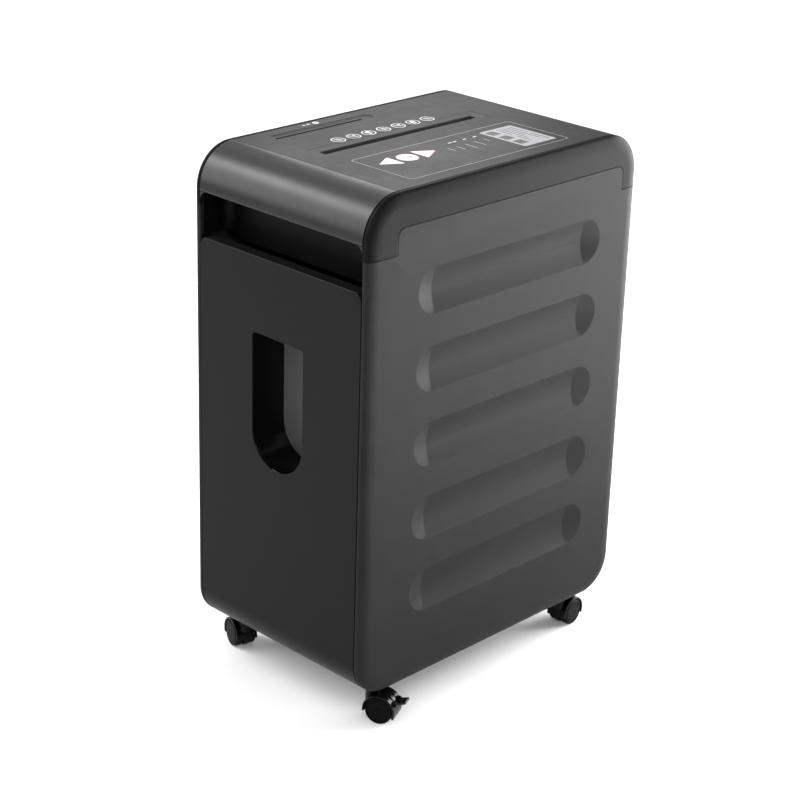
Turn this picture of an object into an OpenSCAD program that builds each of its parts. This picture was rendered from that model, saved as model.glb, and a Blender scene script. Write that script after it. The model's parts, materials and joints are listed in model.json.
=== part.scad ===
// Floor-standing paper shredder with a pull-out bin, a CD slot and four twin-wheel casters.
// Frame: X to the right, Y to the rear, Z up. The origin is on the floor, below the body's centre.
// The narrow face at -Y is the front. All sizes are in millimetres.

/* [Body] */
// Width of the body, side to side
body_w = 256; // [252:1:260]
// Depth of the body, front to rear
body_d = 400; // [400:1:404]
// Height of the body without its casters
body_h = 538; // [538:1:542]
// Height of the casters, from the floor to the underside of the body
caster_h = 45; // [45:0.5:46]
// Radius of the top corners, seen from the side
top_r = 44; // [40:1:44]
// Radius of the bottom corners, seen from the side
bottom_r = 40; // [38:1:42]
// Wall thickness of the casings
wall = 3; // [2.5:0.1:3]
// Rounding around the outer edge of the side panels and cheeks
edge_r = 6; // [4:0.5:6]
// How far the sides reach inward from the side planes
side_depth = 9.5; // [9.5:0.1:10]

/* [Side grooves] */
// Number of grooves in each side
groove_count = 5; // [3:1:5]
// Length of a groove, over its round ends
groove_l = 274.4; // [200:1:280]
// Height of a groove
groove_h = 48.6; // [40:0.2:50]
// Depth of a groove
groove_depth = 6.5; // [4:0.1:6.5]
// Distance from one groove to the next
groove_pitch = 82.3; // [75:0.1:83]
// Height of the lowest groove's centre above the floor
groove_z = 146; // [140:1:150]

/* [Head] */
// Height of the seam between head and cabinet above the floor
seam_z = 522; // [520:1:524]
// Height of the side panel's tongue between the cheek's two legs
tongue_z = 548.5; // [545:0.5:550]
// Length of the paper slot
paper_slot_l = 222; // [218:1:224]
// Width of the paper slot at its narrow part
paper_slot_w = 6; // [5:0.5:7]
// Length of the CD slot
cd_slot_l = 123; // [122:0.5:125]
// Width of the CD slot
cd_slot_w = 5; // [4.8:0.1:5.4]
// How far a button travels
button_travel = 0.8; // [0.5:0.1:1]

/* [Bin] */
// Height of the bin front's top edge above the floor
bin_front_z = 489.4; // [486:0.1:490]
// Depth of the hand recess above the bin
hand_recess_d = 37; // [34:1:38]
// Height of the bin body's underside above the floor
bin_floor_z = 72; // [71:0.5:74]
// Width of the window in the bin's front
window_w = 75; // [65:1:76]
// Height of the window's top edge above the floor
window_z = 407.6; // [400:0.1:410]
// Height of the window's round lower end above the floor
window_low_z = 263.5; // [255:0.5:270]
// How far back the window pane sits
window_depth = 44.7; // [40:0.1:46]

/* [Cutters] */
// Radius of the paper cutting discs
disc_r = 20; // [19:0.5:20]
// Distance between the two paper cutter shafts
shaft_gap = 36; // [36:1:36]
// Distance from one disc to the next on the same shaft
disc_pitch = 8; // [8:0.5:10]
// Thickness of a paper cutting disc
disc_t = 3.4; // [3:0.1:3.4]
// Radius of the CD cutting discs
cd_disc_r = 12; // [11.5:0.1:12]
// Height of the cutter shafts above the floor
shaft_z = 540; // [539:0.5:541]

/* [Casters] */
// Distance of a caster's swivel axis from the middle plane
caster_x = 101.5; // [98:0.5:103]
// Distance of a front caster's swivel axis from the middle, front to rear
front_caster_y = 154; // [149:0.5:155]
// Distance of a rear caster's swivel axis from the middle, front to rear
rear_caster_y = 149; // [146:0.5:149]
// Distance from the swivel axis back to the wheel's centre
trail = 11; // [10:0.5:12]
// Radius of a caster wheel
wheel_r = 15; // [14:0.5:15]
// Width over both wheels of a caster
caster_w = 25; // [24:0.5:26]

/* [Hidden] */
$fn = 48;
fit = 0.05;
gap = 0.3;
z0 = caster_h;
z1 = caster_h + body_h;
front_y = -body_d / 2;
rear_y = body_d / 2;
half_w = body_w / 2;
inner_x = half_w - side_depth;
cover_x = inner_x - gap;
seam_gap = 0.5;
tongue_y = [-161.8, 175.3];
tongue_r = 9;
groove_rho = (pow(groove_h / 2, 2) + pow(groove_depth, 2)) / (2 * groove_depth);
groove_y = [-131.3, -131.3 + groove_l];
fascia_y = front_y + top_r + 0.2;

recess_top = 536.6;
recess_back_y = front_y + hand_recess_d;
recess_low = 483;
recess_corner_r = 9;
web_t = 2.6;

slot_x = -24;
slot_y = [-118, -118 + paper_slot_l];
slot_mouth_w = 9;
throat_x = [-40, -8];
throat_y = [-127, 117];
throat_drop = 1;
cd_x = -95;
cd_slot_y = [-117, -117 + cd_slot_l];
cd_trough_w = 16;
cd_trough_y = [-123, 20];
panel_x = [14, 101];
panel_y = [-118.5, 117];
panel_t = 0.6;
button_x = 43.3;
button_y = [-89.8, -65.5, -40.9];
round_button_r = 11.5;
triangle_button_r = 15.6;
board_z = 573;

deck_z = [499, 503];
plate_top = 570;
front_plate_y = [-124, -121];
rear_plate_y = [107, 110];
shaft_a_x = slot_x - shaft_gap / 2;
shaft_b_x = slot_x + shaft_gap / 2;
core_r = 15;
journal_r = 8;
bush_r = 12;
sync_m = 2;
sync_teeth = shaft_gap / sync_m;
cd_sync_m = 1.25;
cd_sync_teeth = 16;
cd_gap = cd_sync_m * cd_sync_teeth;
cd_drive_teeth = 25;
cd_inner_x = shaft_a_x - sync_m * (sync_teeth + cd_drive_teeth) / 2;
cd_outer_x = cd_inner_x - cd_gap;
cd_core_r = 7.6;
cd_journal_r = 5.5;
cd_bush_r = 8.5;
cd_disc_t = 3;
cd_pitch = 7;
cd_disc_count = 17;
sync_y = [-143, -133];
cd_sync_y = [-131.5, -126.6];

drive_m = 2;
drive_teeth = 28;
step_teeth = 14;
motor_m = 1.25;
wheel_teeth = 34;
pinion_teeth = 14;
drive_y = [113, 125];
step_y = [126, 134];
pinion_y = [125.5, 135];
motor_x = 64;
motor_z = 538;
motor_r = 29;
motor_y = [-12, 107];
step_reach = drive_m * (drive_teeth + step_teeth) / 2;
pinion_reach = motor_m * (wheel_teeth + pinion_teeth) / 2;
motor_reach = norm([motor_x - shaft_b_x, motor_z - shaft_z]);
motor_angle = atan2(motor_z - shaft_z, motor_x - shaft_b_x);
step_turn = acos((pow(step_reach, 2) + pow(motor_reach, 2) - pow(pinion_reach, 2))
    / (2 * step_reach * motor_reach));
step_angle = motor_angle - step_turn;
step_x = shaft_b_x + step_reach * cos(step_angle);
step_z = shaft_z + step_reach * sin(step_angle);
pinion_angle = atan2(motor_z - step_z, motor_x - step_x);

bin_x = 112;
bin_y = [front_y + 10, 165];
bin_top = 470;
bin_wall = 2.5;
bin_corner = 30;
bin_ledge_y = front_y + 14;
switch_y = -151;
plunger_low = 478;
plunger_top = 487;
base_y = [front_y + 33, rear_y - bottom_r];
rail_x = 70;
boss_r = 10;
boss_top = 69;
stem_r = 4;
casters = [
    ["front_right", caster_x, -front_caster_y, 24, true],
    ["front_left", -caster_x, -front_caster_y, 162.4, false],
    ["rear_right", caster_x, rear_caster_y, 96, false],
    ["rear_left", -caster_x, rear_caster_y, 204, true],
];
axle_r = 3;
hood_r = wheel_r + 3.2;
hood_inner_r = wheel_r + 0.8;
lever_r = 18;
lever_z = 25;

// ---- Drawing helpers ----

// Extrudes a profile drawn in the Y-Z plane along +X, from x to x + t.
module yz(x, t) {
    translate([x, 0, 0]) rotate([90, 0, 90]) linear_extrude(t) children();
}

// Extrudes a profile drawn in the X-Z plane along Y, between two y values.
module xz(y) {
    translate([0, y[1], 0]) rotate([90, 0, 0]) linear_extrude(y[1] - y[0]) children();
}

// A cylinder along Y between two y values, centred on x and z.
module y_cyl(x, z, r, y) {
    translate([x, y[1], z]) rotate([90, 0, 0]) cylinder(r = r, h = y[1] - y[0]);
}

// A box between two corners.
module block(low, high) {
    translate(low) cube(high - low);
}

// A rectangle between two corners, with its four corners rounded.
module round_rect(low, high, r) {
    translate(low + [r, 0]) square([high.x - low.x - 2 * r, high.y - low.y]);
    translate(low + [0, r]) square([high.x - low.x, high.y - low.y - 2 * r]);
    for (x = [low.x + r, high.x - r], y = [low.y + r, high.y - r]) {
        translate([x, y]) circle(r);
    }
}

// The body's outline seen from the side, drawn smaller by inset.
module side_outline(inset = 0) {
    rt = top_r - inset;
    rb = bottom_r - inset;
    y0 = front_y + inset;
    y1 = rear_y - inset;
    low = z0 + inset;
    high = z1 - inset;
    translate([y0, low + rb]) square([y1 - y0, high - low - rt - rb]);
    translate([y0 + rt, high - rt]) square([y1 - y0 - 2 * rt, rt]);
    translate([y0 + rb, low]) square([y1 - y0 - 2 * rb, rb]);
    for (y = [y0 + rt, y1 - rt]) {
        translate([y, high - rt]) circle(rt);
    }
    for (y = [y0 + rb, y1 - rb]) {
        translate([y, low + rb]) circle(rb);
    }
}

// The strip of wall that follows the body's outline.
module wall_outline() {
    difference() {
        side_outline();
        side_outline(wall);
    }
}

// ---- Sides: two panels below, two cheeks of the head above ----

// One corner of a side's rounded edge: a quarter of a ring.
module edge_corner(y, z, r, turn) {
    translate([half_w - edge_r, y, z]) rotate([turn, 0, 0]) rotate([0, 90, 0])
        rotate_extrude(angle = 90) translate([r - edge_r, 0]) circle(edge_r);
}

// A solid plate with the body's outline and a rounded outer edge, on the right side.
module rounded_plate() {
    yt = body_d / 2 - top_r;
    yb = body_d / 2 - bottom_r;
    edge_x = half_w - edge_r;
    yz(inner_x, side_depth - edge_r) side_outline();
    yz(inner_x, side_depth) side_outline(edge_r);
    for (side = [-1, 1]) {
        translate([edge_x, side * (body_d / 2 - edge_r), z0 + bottom_r])
            cylinder(r = edge_r, h = body_h - top_r - bottom_r);
    }
    y_cyl(edge_x, z1 - edge_r, edge_r, [-yt, yt]);
    y_cyl(edge_x, z0 + edge_r, edge_r, [-yb, yb]);
    edge_corner(yb, z0 + bottom_r, bottom_r, 0);
    edge_corner(yt, z1 - top_r, top_r, 90);
    edge_corner(-yt, z1 - top_r, top_r, 180);
    edge_corner(-yb, z0 + bottom_r, bottom_r, 270);
}

// The shape that presses one groove into the right side, or its inner bulge with extra > 0.
module groove_form(z, extra = 0) {
    x = half_w - groove_depth + groove_rho;
    ends = [groove_y[0] + groove_h / 2, groove_y[1] - groove_h / 2];
    y_cyl(x, z, groove_rho + extra, ends);
    for (y = ends) {
        translate([x, y, z]) sphere(groove_rho + extra, $fn = 96);
    }
}

// A hollow side over the whole height, still in one piece.
module side_shell() {
    difference() {
        rounded_plate();
        yz(inner_x - 1, side_depth - wall + 1) side_outline(wall + 0.2);
    }
}

// The outline of the tongue that fills the space between a cheek's legs.
module tongue_outline(grow) {
    round_rect([tongue_y[0] - grow, seam_z - 40], [tongue_y[1] + grow, tongue_z + grow],
        tongue_r + grow);
}

// What belongs to the side panel, seen from the side.
module panel_region() {
    translate([front_y - 1, 0]) square([body_d + 2, seam_z - seam_gap / 2]);
    tongue_outline(-seam_gap / 2);
}

// What belongs to the head's cheek, seen from the side.
module cheek_region() {
    difference() {
        translate([front_y - 1, seam_z + seam_gap / 2]) square([body_d + 2, body_h]);
        tongue_outline(seam_gap / 2);
    }
}

// Side panel with its grooves and the ledge that carries the head's deck, on the right.
module side_panel() {
    difference() {
        union() {
            intersection() {
                side_shell();
                yz(inner_x, side_depth + 2) panel_region();
            }
            for (i = [0:groove_count - 1]) {
                intersection() {
                    groove_form(groove_z + i * groove_pitch, 2.5);
                    block([inner_x, groove_y[0] - 5, z0 + 20],
                        [half_w - wall + 0.2, groove_y[1] + 5, seam_z - 5]);
                }
            }
            block([bin_x, -150, deck_z[0] - 5], [half_w - wall + 0.2, 190, deck_z[0]]);
        }
        for (i = [0:groove_count - 1]) {
            groove_form(groove_z + i * groove_pitch);
        }
        deck_screw_places() cylinder(r = 1.8, h = 8, center = true);
    }
}

module cheek() {
    intersection() {
        side_shell();
        yz(inner_x, side_depth + 2) cheek_region();
    }
}

module right_side_panel() {
    color("#2b2b2d") side_panel();
}

module left_side_panel() {
    color("#2b2b2d") mirror([1, 0, 0]) side_panel();
}

module head_right_cheek() {
    color("#333335") cheek();
}

module head_left_cheek() {
    color("#333335") mirror([1, 0, 0]) cheek();
}

// ---- Cabinet ----

// Rear wall that curls under the body, with a field of vent slots and the cable's hole.
module back_panel() {
    color("#29292b") difference() {
        yz(-cover_x, 2 * cover_x) intersection() {
            wall_outline();
            translate([rear_y - bottom_r + 0.3, z0 - 1]) square([200, seam_z - seam_gap / 2 - z0 + 1]);
        }
        for (i = [0:6]) {
            block([25, rear_y - 5, 450 + 7 * i], [75, rear_y + 1, 453.5 + 7 * i]);
        }
        y_cyl(-85, 470, 8, [rear_y - 5, rear_y + 1]);
        y_cyl(-85, 470, 11, [rear_y - 1.5, rear_y + 1]);
    }
}

// Floor of the cabinet, with the bin's two rails and four bosses for the caster stems.
module base_pan() {
    color("#232325") difference() {
        union() {
            block([-cover_x, base_y[0], z0], [cover_x, base_y[1], z0 + wall]);
            for (side = [-1, 1]) {
                block([side * rail_x - 3, base_y[0] + 8, z0],
                    [side * rail_x + 3, base_y[1], bin_floor_z - gap]);
                block([side * (cover_x - 1.5) - 1.5, base_y[0] + 8, z0],
                    [side * (cover_x - 1.5) + 1.5, base_y[1], z0 + 18]);
            }
            stem_places() translate([0, 0, z0]) cylinder(r = boss_r, h = boss_top - z0);
        }
        stem_places() translate([0, 0, z0 - 1]) cylinder(r = stem_r + fit, h = 23);
    }
}

module stem_places() {
    for (c = casters) {
        translate([c[1], c[2], 0]) children();
    }
}

// The hand recess above the bin: a back wall and two returns to the front edge.
module hand_recess_shell() {
    color("#202022") {
        block([-cover_x, recess_back_y, recess_low], [cover_x, recess_back_y + 2.5, recess_top]);
        for (side = [-1, 1]) {
            block([side * (cover_x - 1.25) - 1.25, front_y + web_t + gap, bin_front_z + 0.8],
                [side * (cover_x - 1.25) + 1.25, recess_back_y, recess_top]);
        }
    }
}

// Bush that the mains lead would pass through, flush with the back panel.
module cable_gland() {
    color("#151516") difference() {
        union() {
            y_cyl(-85, 470, 8, [rear_y - 18, rear_y - 0.5]);
            y_cyl(-85, 470, 11, [rear_y - 1.5, rear_y]);
        }
        y_cyl(-85, 470, 4.2, [rear_y - 19, rear_y + 1]);
    }
}

// Switch under the deck, with a plunger that the bin's tab holds in while the bin is shut.
module bin_switch() {
    color("#3c3c40") {
        block([bin_x - 16, switch_y - 4, plunger_top], [bin_x - gap, switch_y + 4, deck_z[0]]);
        block([bin_x - 2.2, switch_y - 1, plunger_low], [bin_x - gap, switch_y + 1, plunger_top]);
    }
}

// ---- Head casing ----

// Top plate that turns down over the rear, with holes for the slots and the control panel.
module head_top_cover() {
    color("#3a3a3c") difference() {
        yz(-cover_x, 2 * cover_x) intersection() {
            wall_outline();
            translate([fascia_y + 0.4, seam_z + seam_gap / 2]) square([body_d, body_h]);
        }
        block([throat_x[0], throat_y[0], z1 - 10], [throat_x[1], throat_y[1], z1 + 1]);
        block([cd_x - cd_trough_w / 2, cd_trough_y[0], z1 - 10],
            [cd_x + cd_trough_w / 2, cd_trough_y[1], z1 + 1]);
        block([panel_x[0], panel_y[0], z1 - panel_t], [panel_x[1], panel_y[1], z1 + 1]);
        translate([0, 0, z1 - 10]) linear_extrude(20) button_outlines(0.4);
    }
}

// Quarter-round front of the head, with a lip that roofs the hand recess and two round inner corners.
module head_front_fascia() {
    corner_x = cover_x - recess_corner_r;
    color("#38383b") {
        yz(-cover_x, 2 * cover_x) {
            intersection() {
                wall_outline();
                translate([front_y - 1, recess_top]) square([fascia_y - front_y + 1, body_h]);
            }
            translate([front_y, recess_top]) square([hand_recess_d + 2, wall]);
        }
        for (side = [-1, 1]) {
            xz([front_y, front_y + web_t]) difference() {
                translate([side * (corner_x + recess_corner_r / 2), recess_top])
                    square([recess_corner_r, 2 * recess_corner_r], center = true);
                translate([side * corner_x, recess_top - recess_corner_r]) circle(recess_corner_r);
            }
        }
    }
}

// Funnel under the paper opening, with a shallow dish around its mouth.
module paper_throat() {
    dish_z = z1 - throat_drop;
    guide_z = 566;
    color("#1a1a1b") difference() {
        union() {
            block([throat_x[0] - 3, throat_y[0] - 3, z1 - wall - 2.5],
                [throat_x[1] + 3, throat_y[1] + 3, z1 - wall]);
            block([throat_x[0], throat_y[0], z1 - wall], [throat_x[1], throat_y[1], dish_z]);
            block([slot_x - 10, slot_y[0] - 2.5, 564], [slot_x + 10, slot_y[1] + 2.5, z1 - wall]);
        }
        xz(slot_y) polygon([
            [slot_x - slot_mouth_w / 2, dish_z + 1], [slot_x - slot_mouth_w / 2, dish_z - 1],
            [slot_x - paper_slot_w / 2, guide_z], [slot_x - paper_slot_w / 2, 560],
            [slot_x + paper_slot_w / 2, 560], [slot_x + paper_slot_w / 2, guide_z],
            [slot_x + slot_mouth_w / 2, dish_z - 1], [slot_x + slot_mouth_w / 2, dish_z + 1],
        ]);
    }
}

// Floor of the CD trough, with the slot and its guide walls.
module cd_throat() {
    floor_z = z1 - wall;
    color("#2c2c2e") difference() {
        union() {
            block([cd_x - cd_trough_w / 2 - 3, cd_trough_y[0] - 3, floor_z - 2.5],
                [cd_x + cd_trough_w / 2 + 3, cd_trough_y[1] + 3, floor_z]);
            block([cd_x - cd_slot_w / 2 - 2, cd_slot_y[0] - 2, 558],
                [cd_x + cd_slot_w / 2 + 2, cd_slot_y[1] + 2, floor_z]);
        }
        block([cd_x - cd_slot_w / 2, cd_slot_y[0], 550], [cd_x + cd_slot_w / 2, cd_slot_y[1], z1]);
    }
}

// Outlines of the three buttons, drawn larger by grow.
module button_outlines(grow) {
    triangle_outline(button_y[0], -90, grow);
    translate([button_x, button_y[1]]) circle(round_button_r + grow);
    triangle_outline(button_y[2], 90, grow);
}

// An equal-sided triangle that points along the given angle.
module triangle_outline(y, angle, grow) {
    translate([button_x, y]) rotate(angle) circle(triangle_button_r + 2 * grow, $fn = 3);
}

// Printed film in its pocket on the top cover.
module control_panel() {
    color("#444447") difference() {
        block([panel_x[0] + 0.1, panel_y[0] + 0.1, z1 - panel_t], [panel_x[1] - 0.1, panel_y[1] - 0.1, z1]);
        translate([0, 0, z1 - 2]) linear_extrude(4) button_outlines(0.4);
    }
}

// A button's cap in the cover and its stem down to the board's switch.
module button_body(y) {
    stem_low = board_z + 1.6 + 0.2 + button_travel;
    translate([0, 0, z1 - 4.2]) linear_extrude(4.2) children();
    translate([button_x, y, stem_low]) cylinder(r = 3, h = z1 - 4 - stem_low);
}

module button_reverse() {
    color("#f0f0f0") button_body(button_y[0]) triangle_outline(button_y[0], -90, 0);
}

module button_power() {
    color("#f0f0f0") button_body(button_y[1]) translate([button_x, button_y[1]]) circle(round_button_r);
}

module button_forward() {
    color("#f0f0f0") button_body(button_y[2]) triangle_outline(button_y[2], 90, 0);
}

// Circuit board under the control panel, on four posts from the top cover.
module control_board() {
    color("#1f5c3a") {
        block([20, -112, board_z], [96, 70, board_z + 1.6]);
        for (x = [24, 92], y = [-108, 66]) {
            translate([x, y, board_z + 1.6]) cylinder(r = 2.5, h = z1 - wall - board_z - 1.6);
        }
    }
    color("#111111") for (i = [0:2]) {
        block([74, -100 + 45 * i, board_z + 1.6], [86, -80 + 45 * i, board_z + 4]);
    }
}

// ---- Cutting block ----

module deck_screw_places() {
    for (x = [-115.5, 115.5], y = [-140, -40, 60, 160]) {
        translate([x, y, deck_z[0]]) children();
    }
}

// Floor of the head that carries the cutting block and the motor.
module head_deck() {
    color("#2e2e30") difference() {
        block([-cover_x, recess_back_y + 2.8, deck_z[0]], [cover_x, rear_y - wall - gap, deck_z[1]]);
        block([-116.5 + 6, -116, deck_z[0] - 1], [slot_x + 40, 102, deck_z[1] + 1]);
        deck_screw_places() cylinder(r = 1.8, h = 20, center = true);
    }
}

module deck_screws() {
    color("silver") deck_screw_places() {
        translate([0, 0, -3.9]) cylinder(r = 1.8, h = 3.9 + deck_z[1] - deck_z[0]);
        translate([0, 0, deck_z[1] - deck_z[0]]) cylinder(r = 3.5, h = 2.2);
    }
}

// The outline shared by both end plates, from the deck up, with holes for the bushes.
module end_plate(y, x_high) {
    difference() {
        block([-117.5, y[0], deck_z[1]], [x_high, y[1], plate_top]);
        for (x = [shaft_a_x, shaft_b_x]) {
            y_cyl(x, shaft_z, bush_r, [y[0] - 1, y[1] + 1]);
        }
        for (x = [cd_inner_x, cd_outer_x]) {
            y_cyl(x, shaft_z, cd_bush_r, [y[0] - 1, y[1] + 1]);
        }
        tie_rod_places(y);
    }
}

module front_end_plate() {
    color("#9a9a9a") end_plate(front_plate_y, 28);
}

// The rear plate also carries the motor and the step gear's bearing boss.
module rear_end_plate() {
    color("#9a9a9a") difference() {
        union() {
            end_plate(rear_plate_y, 100);
            y_cyl(step_x, step_z, 8, [rear_plate_y[0], rear_plate_y[1] + 2]);
        }
        y_cyl(step_x, step_z, 5 + fit, [rear_plate_y[0] - 1, rear_plate_y[1] + 3]);
        y_cyl(motor_x, motor_z, 7, [rear_plate_y[0] - 1, rear_plate_y[1] + 1]);
    }
}

// Turned ends of the tie rods, as holes or as rod ends.
module tie_rod_places(y) {
    for (x = [-63, 22], z = [511, 564]) {
        y_cyl(x, z, 3, [y[0] - 1, y[1] + 1]);
    }
}

module plate_tie_rods() {
    color("#b0b0b0") for (x = [-63, 22], z = [511, 564]) {
        y_cyl(x, z, 4.5, [front_plate_y[1], rear_plate_y[0]]);
        y_cyl(x, z, 3, [front_plate_y[0] - 1.5, rear_plate_y[1] + 1.5]);
    }
}

// A flanged bush in a plate: the flange is on the plate's inner side, the rim on the outer side.
module bush(x, y, inward, r, bore) {
    flange = inward > 0 ? [y[1], y[1] + 2] : [y[0] - 2, y[0]];
    body = inward > 0 ? [y[0] - 2, y[1]] : [y[0], y[1] + 2];
    difference() {
        union() {
            y_cyl(x, shaft_z, r, body);
            y_cyl(x, shaft_z, r + 1.2, flange);
        }
        y_cyl(x, shaft_z, bore, [y[0] - 5, y[1] + 5]);
    }
}

module shaft_bushes() {
    color("#b08d57") for (end = [[front_plate_y, 1], [rear_plate_y, -1]]) {
        for (x = [shaft_a_x, shaft_b_x]) {
            bush(x, end[0], end[1], bush_r, journal_r + fit);
        }
        for (x = [cd_inner_x, cd_outer_x]) {
            bush(x, end[0], end[1], cd_bush_r, cd_journal_r + fit);
        }
    }
}

// A shaft along Y with a row of discs, each with six hooked notches.
module cutter(x, ends, journal, core, disc, t, pitch, first, count) {
    low = front_plate_y[1] + 2.4;
    high = rear_plate_y[0] - 2.4;
    difference() {
        union() {
            y_cyl(x, shaft_z, journal, ends);
            y_cyl(x, shaft_z, core, [low, high]);
            for (i = [0:count - 1]) {
                y_cyl(x, shaft_z, disc, [first + i * pitch - t / 2, first + i * pitch + t / 2]);
            }
        }
        for (i = [0:5]) {
            translate([x, high, shaft_z]) rotate([90, 0, 0]) linear_extrude(high - low)
                rotate(60 * i) polygon([
                    [core + 1, 0.5], [disc + 1, -0.6], [disc + 1, (disc - core) * 0.9], [core + 1, 0.8],
                ]);
        }
    }
}

module paper_cutter_left() {
    color("#8b8f94") cutter(shaft_a_x, [sync_y[0] - 1, rear_plate_y[1] + 2], journal_r, core_r,
        disc_r, disc_t, disc_pitch, -114, 28);
}

module paper_cutter_right() {
    color("#8b8f94") cutter(shaft_b_x, [sync_y[0] - 1, drive_y[1] + 0.6], journal_r, core_r,
        disc_r, disc_t, disc_pitch, -114 + disc_pitch / 2, 27);
}

module cd_cutter_inner() {
    color("#8b8f94") cutter(cd_inner_x, [sync_y[0] - 1, rear_plate_y[1] + 2], cd_journal_r, cd_core_r,
        cd_disc_r, cd_disc_t, cd_pitch, -113, cd_disc_count);
}

module cd_cutter_outer() {
    color("#8b8f94") cutter(cd_outer_x, [cd_sync_y[0] - 0.4, rear_plate_y[1] + 2], cd_journal_r, cd_core_r,
        cd_disc_r, cd_disc_t, cd_pitch, -113 + cd_pitch / 2, cd_disc_count);
}

// A beam beside a paper cutter with fingers between its discs, which strip the shreds off.
module stripper_comb(x, side, first, count) {
    beam_x = x + side * 23;
    color("#47474b") difference() {
        union() {
            block([beam_x - 2, front_plate_y[1], shaft_z - 7], [beam_x + 2, rear_plate_y[0], shaft_z + 7]);
            for (i = [0:count - 1]) {
                y = first + i * disc_pitch;
                block([min(beam_x, x), y - disc_t / 2, shaft_z - 5],
                    [max(beam_x, x), y + disc_t / 2, shaft_z + 5]);
            }
        }
        y_cyl(x, shaft_z, core_r + 0.8, [front_plate_y[0], rear_plate_y[1]]);
    }
}

module stripper_comb_left() {
    stripper_comb(shaft_a_x, -1, -114 + disc_pitch / 2, 27);
}

module stripper_comb_right() {
    stripper_comb(shaft_b_x, 1, -114, 28);
}

// ---- Gear train ----

// Involute of an angle, in degrees.
function involute(a) = tan(a) * 180 / PI - a;

// Half a tooth's angle at radius r, for a gear of modulus m with n teeth.
function half_tooth(m, n, r, play) = 90 / n - play / (m * n) * 180 / PI + involute(20)
    - involute(acos(min(1, m * n / 2 * cos(20) / r)));

// Phase that puts gear b in mesh with gear a, which lies at angle dir from a's centre.
function mesh_phase(a_teeth, a_phase, b_teeth, dir) =
    dir + 180 - (0.5 - (dir - a_phase) * a_teeth / 360) * 360 / b_teeth;

// Outline of a spur gear with 20 degree involute teeth.
module gear_outline(m, n, phase) {
    play = 0.1 * m + 0.05;
    pitch_r = m * n / 2;
    base_r = pitch_r * cos(20);
    tip_r = pitch_r + 0.85 * m;
    root_r = pitch_r - 1.2 * m;
    low_r = max(base_r, root_r);
    steps = 3;
    radii = concat([root_r], [for (i = [0:steps]) low_r + (tip_r - low_r) * i / steps]);
    halves = [for (r = radii) half_tooth(m, n, max(r, low_r), play)];
    last = len(radii) - 1;
    polygon([for (i = [0:n - 1], k = [0:2 * last + 1])
        let (j = k <= last ? k : 2 * last + 1 - k, side = k <= last ? -1 : 1,
            a = phase + 360 * i / n + side * halves[j])
        radii[j] * [cos(a), sin(a)]]);
}

// A spur gear around a shaft along Y.
module gear(x, z, y, m, n, phase, bore) {
    difference() {
        translate([x, y[1], z]) rotate([90, 0, 0]) linear_extrude(y[1] - y[0]) gear_outline(m, n, phase);
        y_cyl(x, z, bore, [y[0] - 1, y[1] + 1]);
    }
}

sync_left_phase = mesh_phase(sync_teeth, 0, sync_teeth, 180);

module sync_gear_right() {
    color("#a5a7aa") gear(shaft_b_x, shaft_z, sync_y, sync_m, sync_teeth, 0, journal_r);
}

module sync_gear_left() {
    color("#a5a7aa") gear(shaft_a_x, shaft_z, sync_y, sync_m, sync_teeth, sync_left_phase, journal_r);
}

// Two gears in one piece: the large one takes the drive, the small one passes it on.
module cd_cluster_gear() {
    phase = mesh_phase(sync_teeth, sync_left_phase, cd_drive_teeth, 180);
    color("#a5a7aa") {
        gear(cd_inner_x, shaft_z, sync_y, sync_m, cd_drive_teeth, phase, cd_journal_r);
        gear(cd_inner_x, shaft_z, [sync_y[1] - 0.5, cd_sync_y[1]], cd_sync_m, cd_sync_teeth, 0, cd_journal_r);
    }
}

module cd_sync_gear() {
    phase = mesh_phase(cd_sync_teeth, 0, cd_sync_teeth, 180);
    color("#a5a7aa") gear(cd_outer_x, shaft_z, cd_sync_y, cd_sync_m, cd_sync_teeth, phase, cd_journal_r);
}

module drive_gear() {
    color("#a5a7aa") gear(shaft_b_x, shaft_z, drive_y, drive_m, drive_teeth, 0, journal_r);
}

// Step-down gear: a small gear, a large gear and the spindle in one piece.
module step_gear() {
    phase = mesh_phase(drive_teeth, 0, step_teeth, step_angle);
    color("#d8d4c8") {
        gear(step_x, step_z, drive_y, drive_m, step_teeth, phase, 1);
        gear(step_x, step_z, step_y, motor_m, wheel_teeth, 0, 1);
        y_cyl(step_x, step_z, 5, [rear_plate_y[0] + gap, step_y[1] + 2]);
        y_cyl(step_x, step_z, 9, [drive_y[1] - 1, step_y[0] + 1]);
    }
}

module motor_case() {
    color("#77797c") difference() {
        y_cyl(motor_x, motor_z, motor_r, motor_y);
        y_cyl(motor_x, motor_z, motor_r - 3, [motor_y[0] + 4, motor_y[1] - 4]);
        y_cyl(motor_x, motor_z, 4 + fit, [motor_y[0] - 1, motor_y[1] + 1]);
        for (i = [0:5]) {
            translate([motor_x, 0, motor_z]) rotate([0, 60 * i, 0])
                block([-4, 10, motor_r - 5], [4, 40, motor_r + 2]);
        }
    }
}

// The motor's shaft with its windings, and the pinion cut into the shaft's end.
module motor_rotor() {
    phase = mesh_phase(wheel_teeth, 0, pinion_teeth, pinion_angle);
    color("#b0703c") {
        y_cyl(motor_x, motor_z, 4, [motor_y[0] + 1, pinion_y[1]]);
        y_cyl(motor_x, motor_z, motor_r - 5, [12, 78]);
        y_cyl(motor_x, motor_z, 12, [84, 100]);
        gear(motor_x, motor_z, pinion_y, motor_m, pinion_teeth, phase, 1);
    }
}

// ---- Bin ----

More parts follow.
